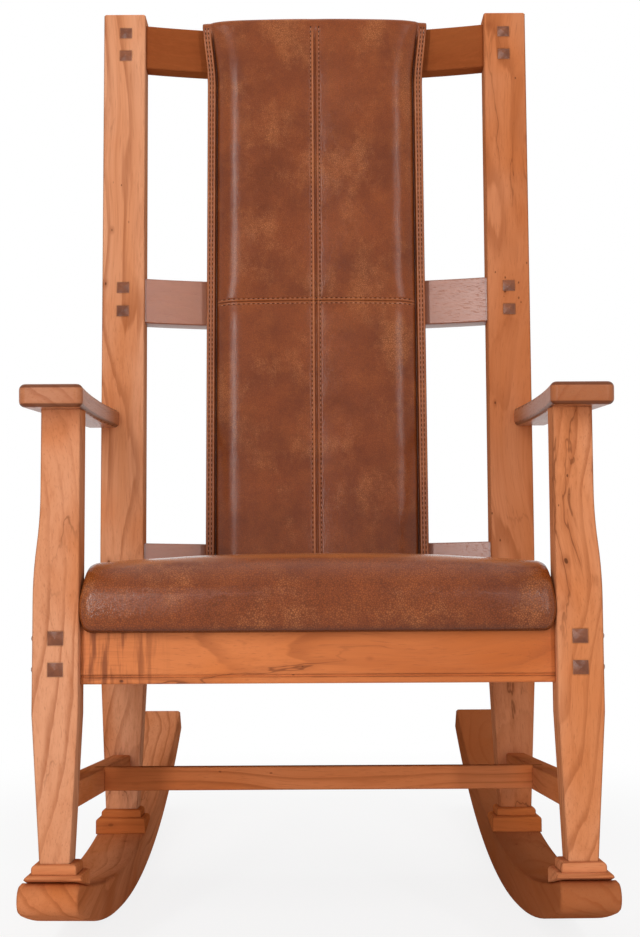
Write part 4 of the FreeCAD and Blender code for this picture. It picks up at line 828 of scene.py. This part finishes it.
outer, inner = pad_sleeve()
rows, columns = outer.shape[:2]
inner_start = rows * columns
faces = lattice(rows, columns) + lattice(rows, columns, inner_start)
index = np.arange(rows * columns).reshape(rows, columns)
for line in (index[:, 0], index[:, -1], index[0], index[-1]):
    faces += np.stack([line[:-1], line[1:], line[1:] + inner_start, line[:-1] + inner_start], -1).tolist()
both = np.concatenate([outer.reshape(-1, 3), inner.reshape(-1, 3)])
pad = skin("back_pad_leather", on_back(both[:, 0], both[:, 1], both[:, 2]), faces)
# Painted shade in the crease, grooves and seams, and a painted highlight on the ridges beside them.
for name, tone in (("seam", seam_shade), ("ridge", ridge_highlight)):
    marked(pad, name, np.concatenate([tone(outer[..., 0], outer[..., 2]).ravel(), np.zeros(rows * columns)]))
outward(pad)
pad.data.polygons.foreach_set("use_smooth", [True] * len(pad.data.polygons))
pad.data.materials.append(brown_leather("pad_leather", pebble=0.6, relief=0.14))
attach(pad, "root")
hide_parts("back_pad", "back_foam")


# Pad stitching
# Waxed brown thread in lock stitches that run from hole to hole: two rows along every seam and flange.
# The needle holes between the stitches are small dimples in the leather, painted dark as painted shade.
STITCH, THREAD, PITCH, HOLE = 0.0044, 0.00045, 0.0068, 0.0011


def stitches(x, w, along_x):
    """Short threads on the pad's face, centred on x, w: a ring of six points carried along a stitch that
    dips into the leather at both ends."""
    proud, dip = 0.0002, 0.0007
    run = np.linspace(-1, 1, 5)[None, :, None]
    spin = np.linspace(0, 2 * np.pi, 6, endpoint=False)[None, None, :]
    fat = THREAD * np.sqrt(np.clip(1.02 - run ** 4, 0.02, 1))
    x, w = x[:, None, None], w[:, None, None]
    reach = run * STITCH / 2
    side = fat * np.cos(spin)
    at_x = x + (reach if along_x else side)
    at_w = w + (side if along_x else reach)
    on_x, on_w = x + (reach if along_x else 0 * run), w + (0 * run if along_x else reach)
    depth = pad_front(on_x, on_w, pushed(on_x, on_w))
    lift = depth - proud + dip * run ** 2 - fat * np.sin(spin)
    return np.stack(np.broadcast_arrays(at_x, lift, at_w), -1)


def holes(x, w, along_x):
    """Needle holes half a pitch past each stitch: lenses of eight-point rings, smaller to both faces."""
    thick = 0.0003
    x = x + (PITCH / 2 if along_x else 0)
    w = w + (0 if along_x else PITCH / 2)
    level = np.array([-0.9, 0.0, 0.9])[None, :, None]
    spin = np.linspace(0, 2 * np.pi, 8, endpoint=False)[None, None, :]
    wide = HOLE * np.sqrt(1 - level ** 2)
    long_x, long_w = (1.3, 0.9) if along_x else (0.9, 1.3)
    depth = pad_front(x, w, pushed(x, w))[:, None, None]
    at_x = x[:, None, None] + wide * long_x * np.cos(spin)
    at_w = w[:, None, None] + wide * long_w * np.sin(spin)
    return np.stack(np.broadcast_arrays(at_x, depth + thick * level, at_w), -1)


def repeated(name, rings):
    """One object of many closed tubes: rings is an array of pieces by rings by points, capped at both ends."""
    count, along, spin = rings.shape[:3]
    starts = np.arange(count) * along * spin
    sides = (np.array(lattice(along, spin, around=True))[None] + starts[:, None, None]).reshape(-1, 4).tolist()
    caps = [np.arange(spin), np.arange((along - 1) * spin, along * spin)]
    ends = [face for cap in caps for face in (cap[None] + starts[:, None]).tolist()]
    flat = rings.reshape(-1, 3)
    piece = skin(name, on_back(flat[:, 0], flat[:, 1], flat[:, 2]), sides + ends)
    outward(piece)
    piece.data.polygons.foreach_set("use_smooth", [True] * len(piece.data.polygons))
    return piece


ladder = np.arange(PAD_LOW + 0.06, PAD_TOP - HOOD_ROUND - 0.008, PITCH)
rung = np.arange(-PAD_HALF + CREASE_E + 0.008, PAD_HALF - CREASE_E - 0.006, PITCH)
rows_of = []
for sign in (-1, 1):
    rows_of.append((np.full_like(ladder, sign * SEAM_ROW), ladder, False))
    rows_of += [(sign * (pad_half(ladder) - inset), ladder, False) for inset in FLANGE_ROWS]
    rows_of.append((rung, across_seam(rung) + sign * SEAM_ACROSS, True))
thread = repeated("back_pad_stitching", np.concatenate([stitches(*row) for row in rows_of]))
needle = repeated("back_pad_needle_holes", np.concatenate([holes(*row) for row in rows_of]))


def waxed_thread():
    """Twisted brown thread: a fine speckle of lighter and darker fibres."""
    material, tree = bare_material("waxed_thread")
    twist = clouds(tree, node(tree, "TexCoord").outputs["Object"], 1400.0, 1.0)
    colour = mixed(tree, between(tree, twist, 0.35, 0.65), paint(126, 70, 40), paint(198, 136, 96))
    surfaced(tree, {"Base Color": colour, "Roughness": 0.5})
    return material


def shadowed_hole():
    """The inside of a needle hole, painted dark as painted shade."""
    material, tree = bare_material("needle_hole")
    surfaced(tree, {"Base Color": paint(48, 22, 12), "Roughness": 0.8, "Specular IOR Level": 0.1})
    return material


thread.data.materials.append(waxed_thread())
needle.data.materials.append(shadowed_hole())
for piece in (thread, needle):
    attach(piece, "root")

# Studio
# A white sweep under soft boxes to the left, the right and overhead. The camera stands in front, level
# and a little above the seat.
scene = bpy.context.scene
scene.view_settings.view_transform = "Standard"
WHITE = (1, 1, 1, 1)


def seen_directly(tree):
    """1 for rays from the camera and for their reflections and refractions, 0 for light that fills shadows."""
    path = node(tree, "LightPath").outputs
    mirrored = maths(tree, "ADD", path["Is Glossy Ray"], path["Is Transmission Ray"])
    return maths(tree, "MINIMUM", maths(tree, "ADD", path["Is Camera Ray"], mirrored), 1.0)


def lit_white(name, shadow_share, near, far):
    """A white ground that shows as plain white to the camera and keeps part of the shadow near the chair."""
    material, tree = bare_material(name)
    place = node(tree, "TexCoord").outputs["Object"]
    away = between(tree, node(tree, "VectorMath", {0: place}, operation="LENGTH").outputs["Value"], near, far)
    matte = node(tree, "BsdfDiffuse", {"Color": paint(246, 246, 246)})
    glow = node(tree, "Emission", {"Color": WHITE, "Strength": 1.0})
    plain = maths(tree, "MULTIPLY_ADD", away, shadow_share, 1 - shadow_share)
    share = maths(tree, "MULTIPLY", seen_directly(tree), plain)
    ground = node(tree, "MixShader", {0: share, 1: matte.outputs[0], 2: glow.outputs[0]})
    node(tree, "OutputMaterial", {"Surface": ground.outputs[0]})
    return material


SWEEP_HALF = 60.0
corners = np.array([[-1, -1, 0], [1, -1, 0], [1, 1, 0], [-1, 1, 0]]) * SWEEP_HALF
floor = skin("studio_floor", corners, [[0, 1, 2, 3]])
floor.data.materials.append(lit_white("studio_white", shadow_share=0.16, near=0.5, far=1.1))

FILL, SHOWN = 0.31, 1.0
world = scene.world or bpy.data.worlds.new("studio")
scene.world = world
world.use_nodes = True
tree = world.node_tree
tree.nodes.clear()
strength = maths(tree, "MULTIPLY_ADD", seen_directly(tree), SHOWN - FILL, FILL)
sky = node(tree, "Background", {"Color": WHITE, "Strength": strength})
node(tree, "OutputWorld", {"Surface": sky.outputs[0]})


def soft_box(name, place, aim, width, height, power, mirrored=True):
    """A rectangular lamp at a place, turned to its aim; mirrored is whether glossy surfaces show it."""
    lamp = bpy.data.lights.new(name, "AREA")
    lamp.shape, lamp.size, lamp.size_y, lamp.energy = "RECTANGLE", width, height, power
    box = bpy.data.objects.new(name, lamp)
    box.location = place
    box.rotation_euler = (Vector(aim) - Vector(place)).to_track_quat("-Z", "Y").to_euler()
    box.visible_glossy = mirrored
    scene.collection.objects.link(box)


BACK_AIM, SEAT_AIM = (0, 0.1, 0.7), (0, 0.2, 0.5)
soft_box("left_box", (-0.95, -2.5, 1.4), BACK_AIM, width=0.20, height=2.7, power=35)
soft_box("right_box", (1.1, -2.5, 1.4), BACK_AIM, width=0.13, height=2.7, power=20)
soft_box("top_box", (0.0, 0.2, 2.9), SEAT_AIM, width=2.0, height=1.4, power=30, mirrored=False)

EYE, EYE_ROLL, LENS, SHIFT = (0.0, -2.1585, 0.525), math.radians(0.3), 62.1, (0.0032, 0.0176)
camera = bpy.data.objects.new("camera", bpy.data.cameras.new("camera"))
camera.location = EYE
camera.rotation_euler = (math.radians(90), EYE_ROLL, 0)
camera.data.lens = LENS
camera.data.shift_x, camera.data.shift_y = SHIFT
scene.collection.objects.link(camera)
scene.camera = camera
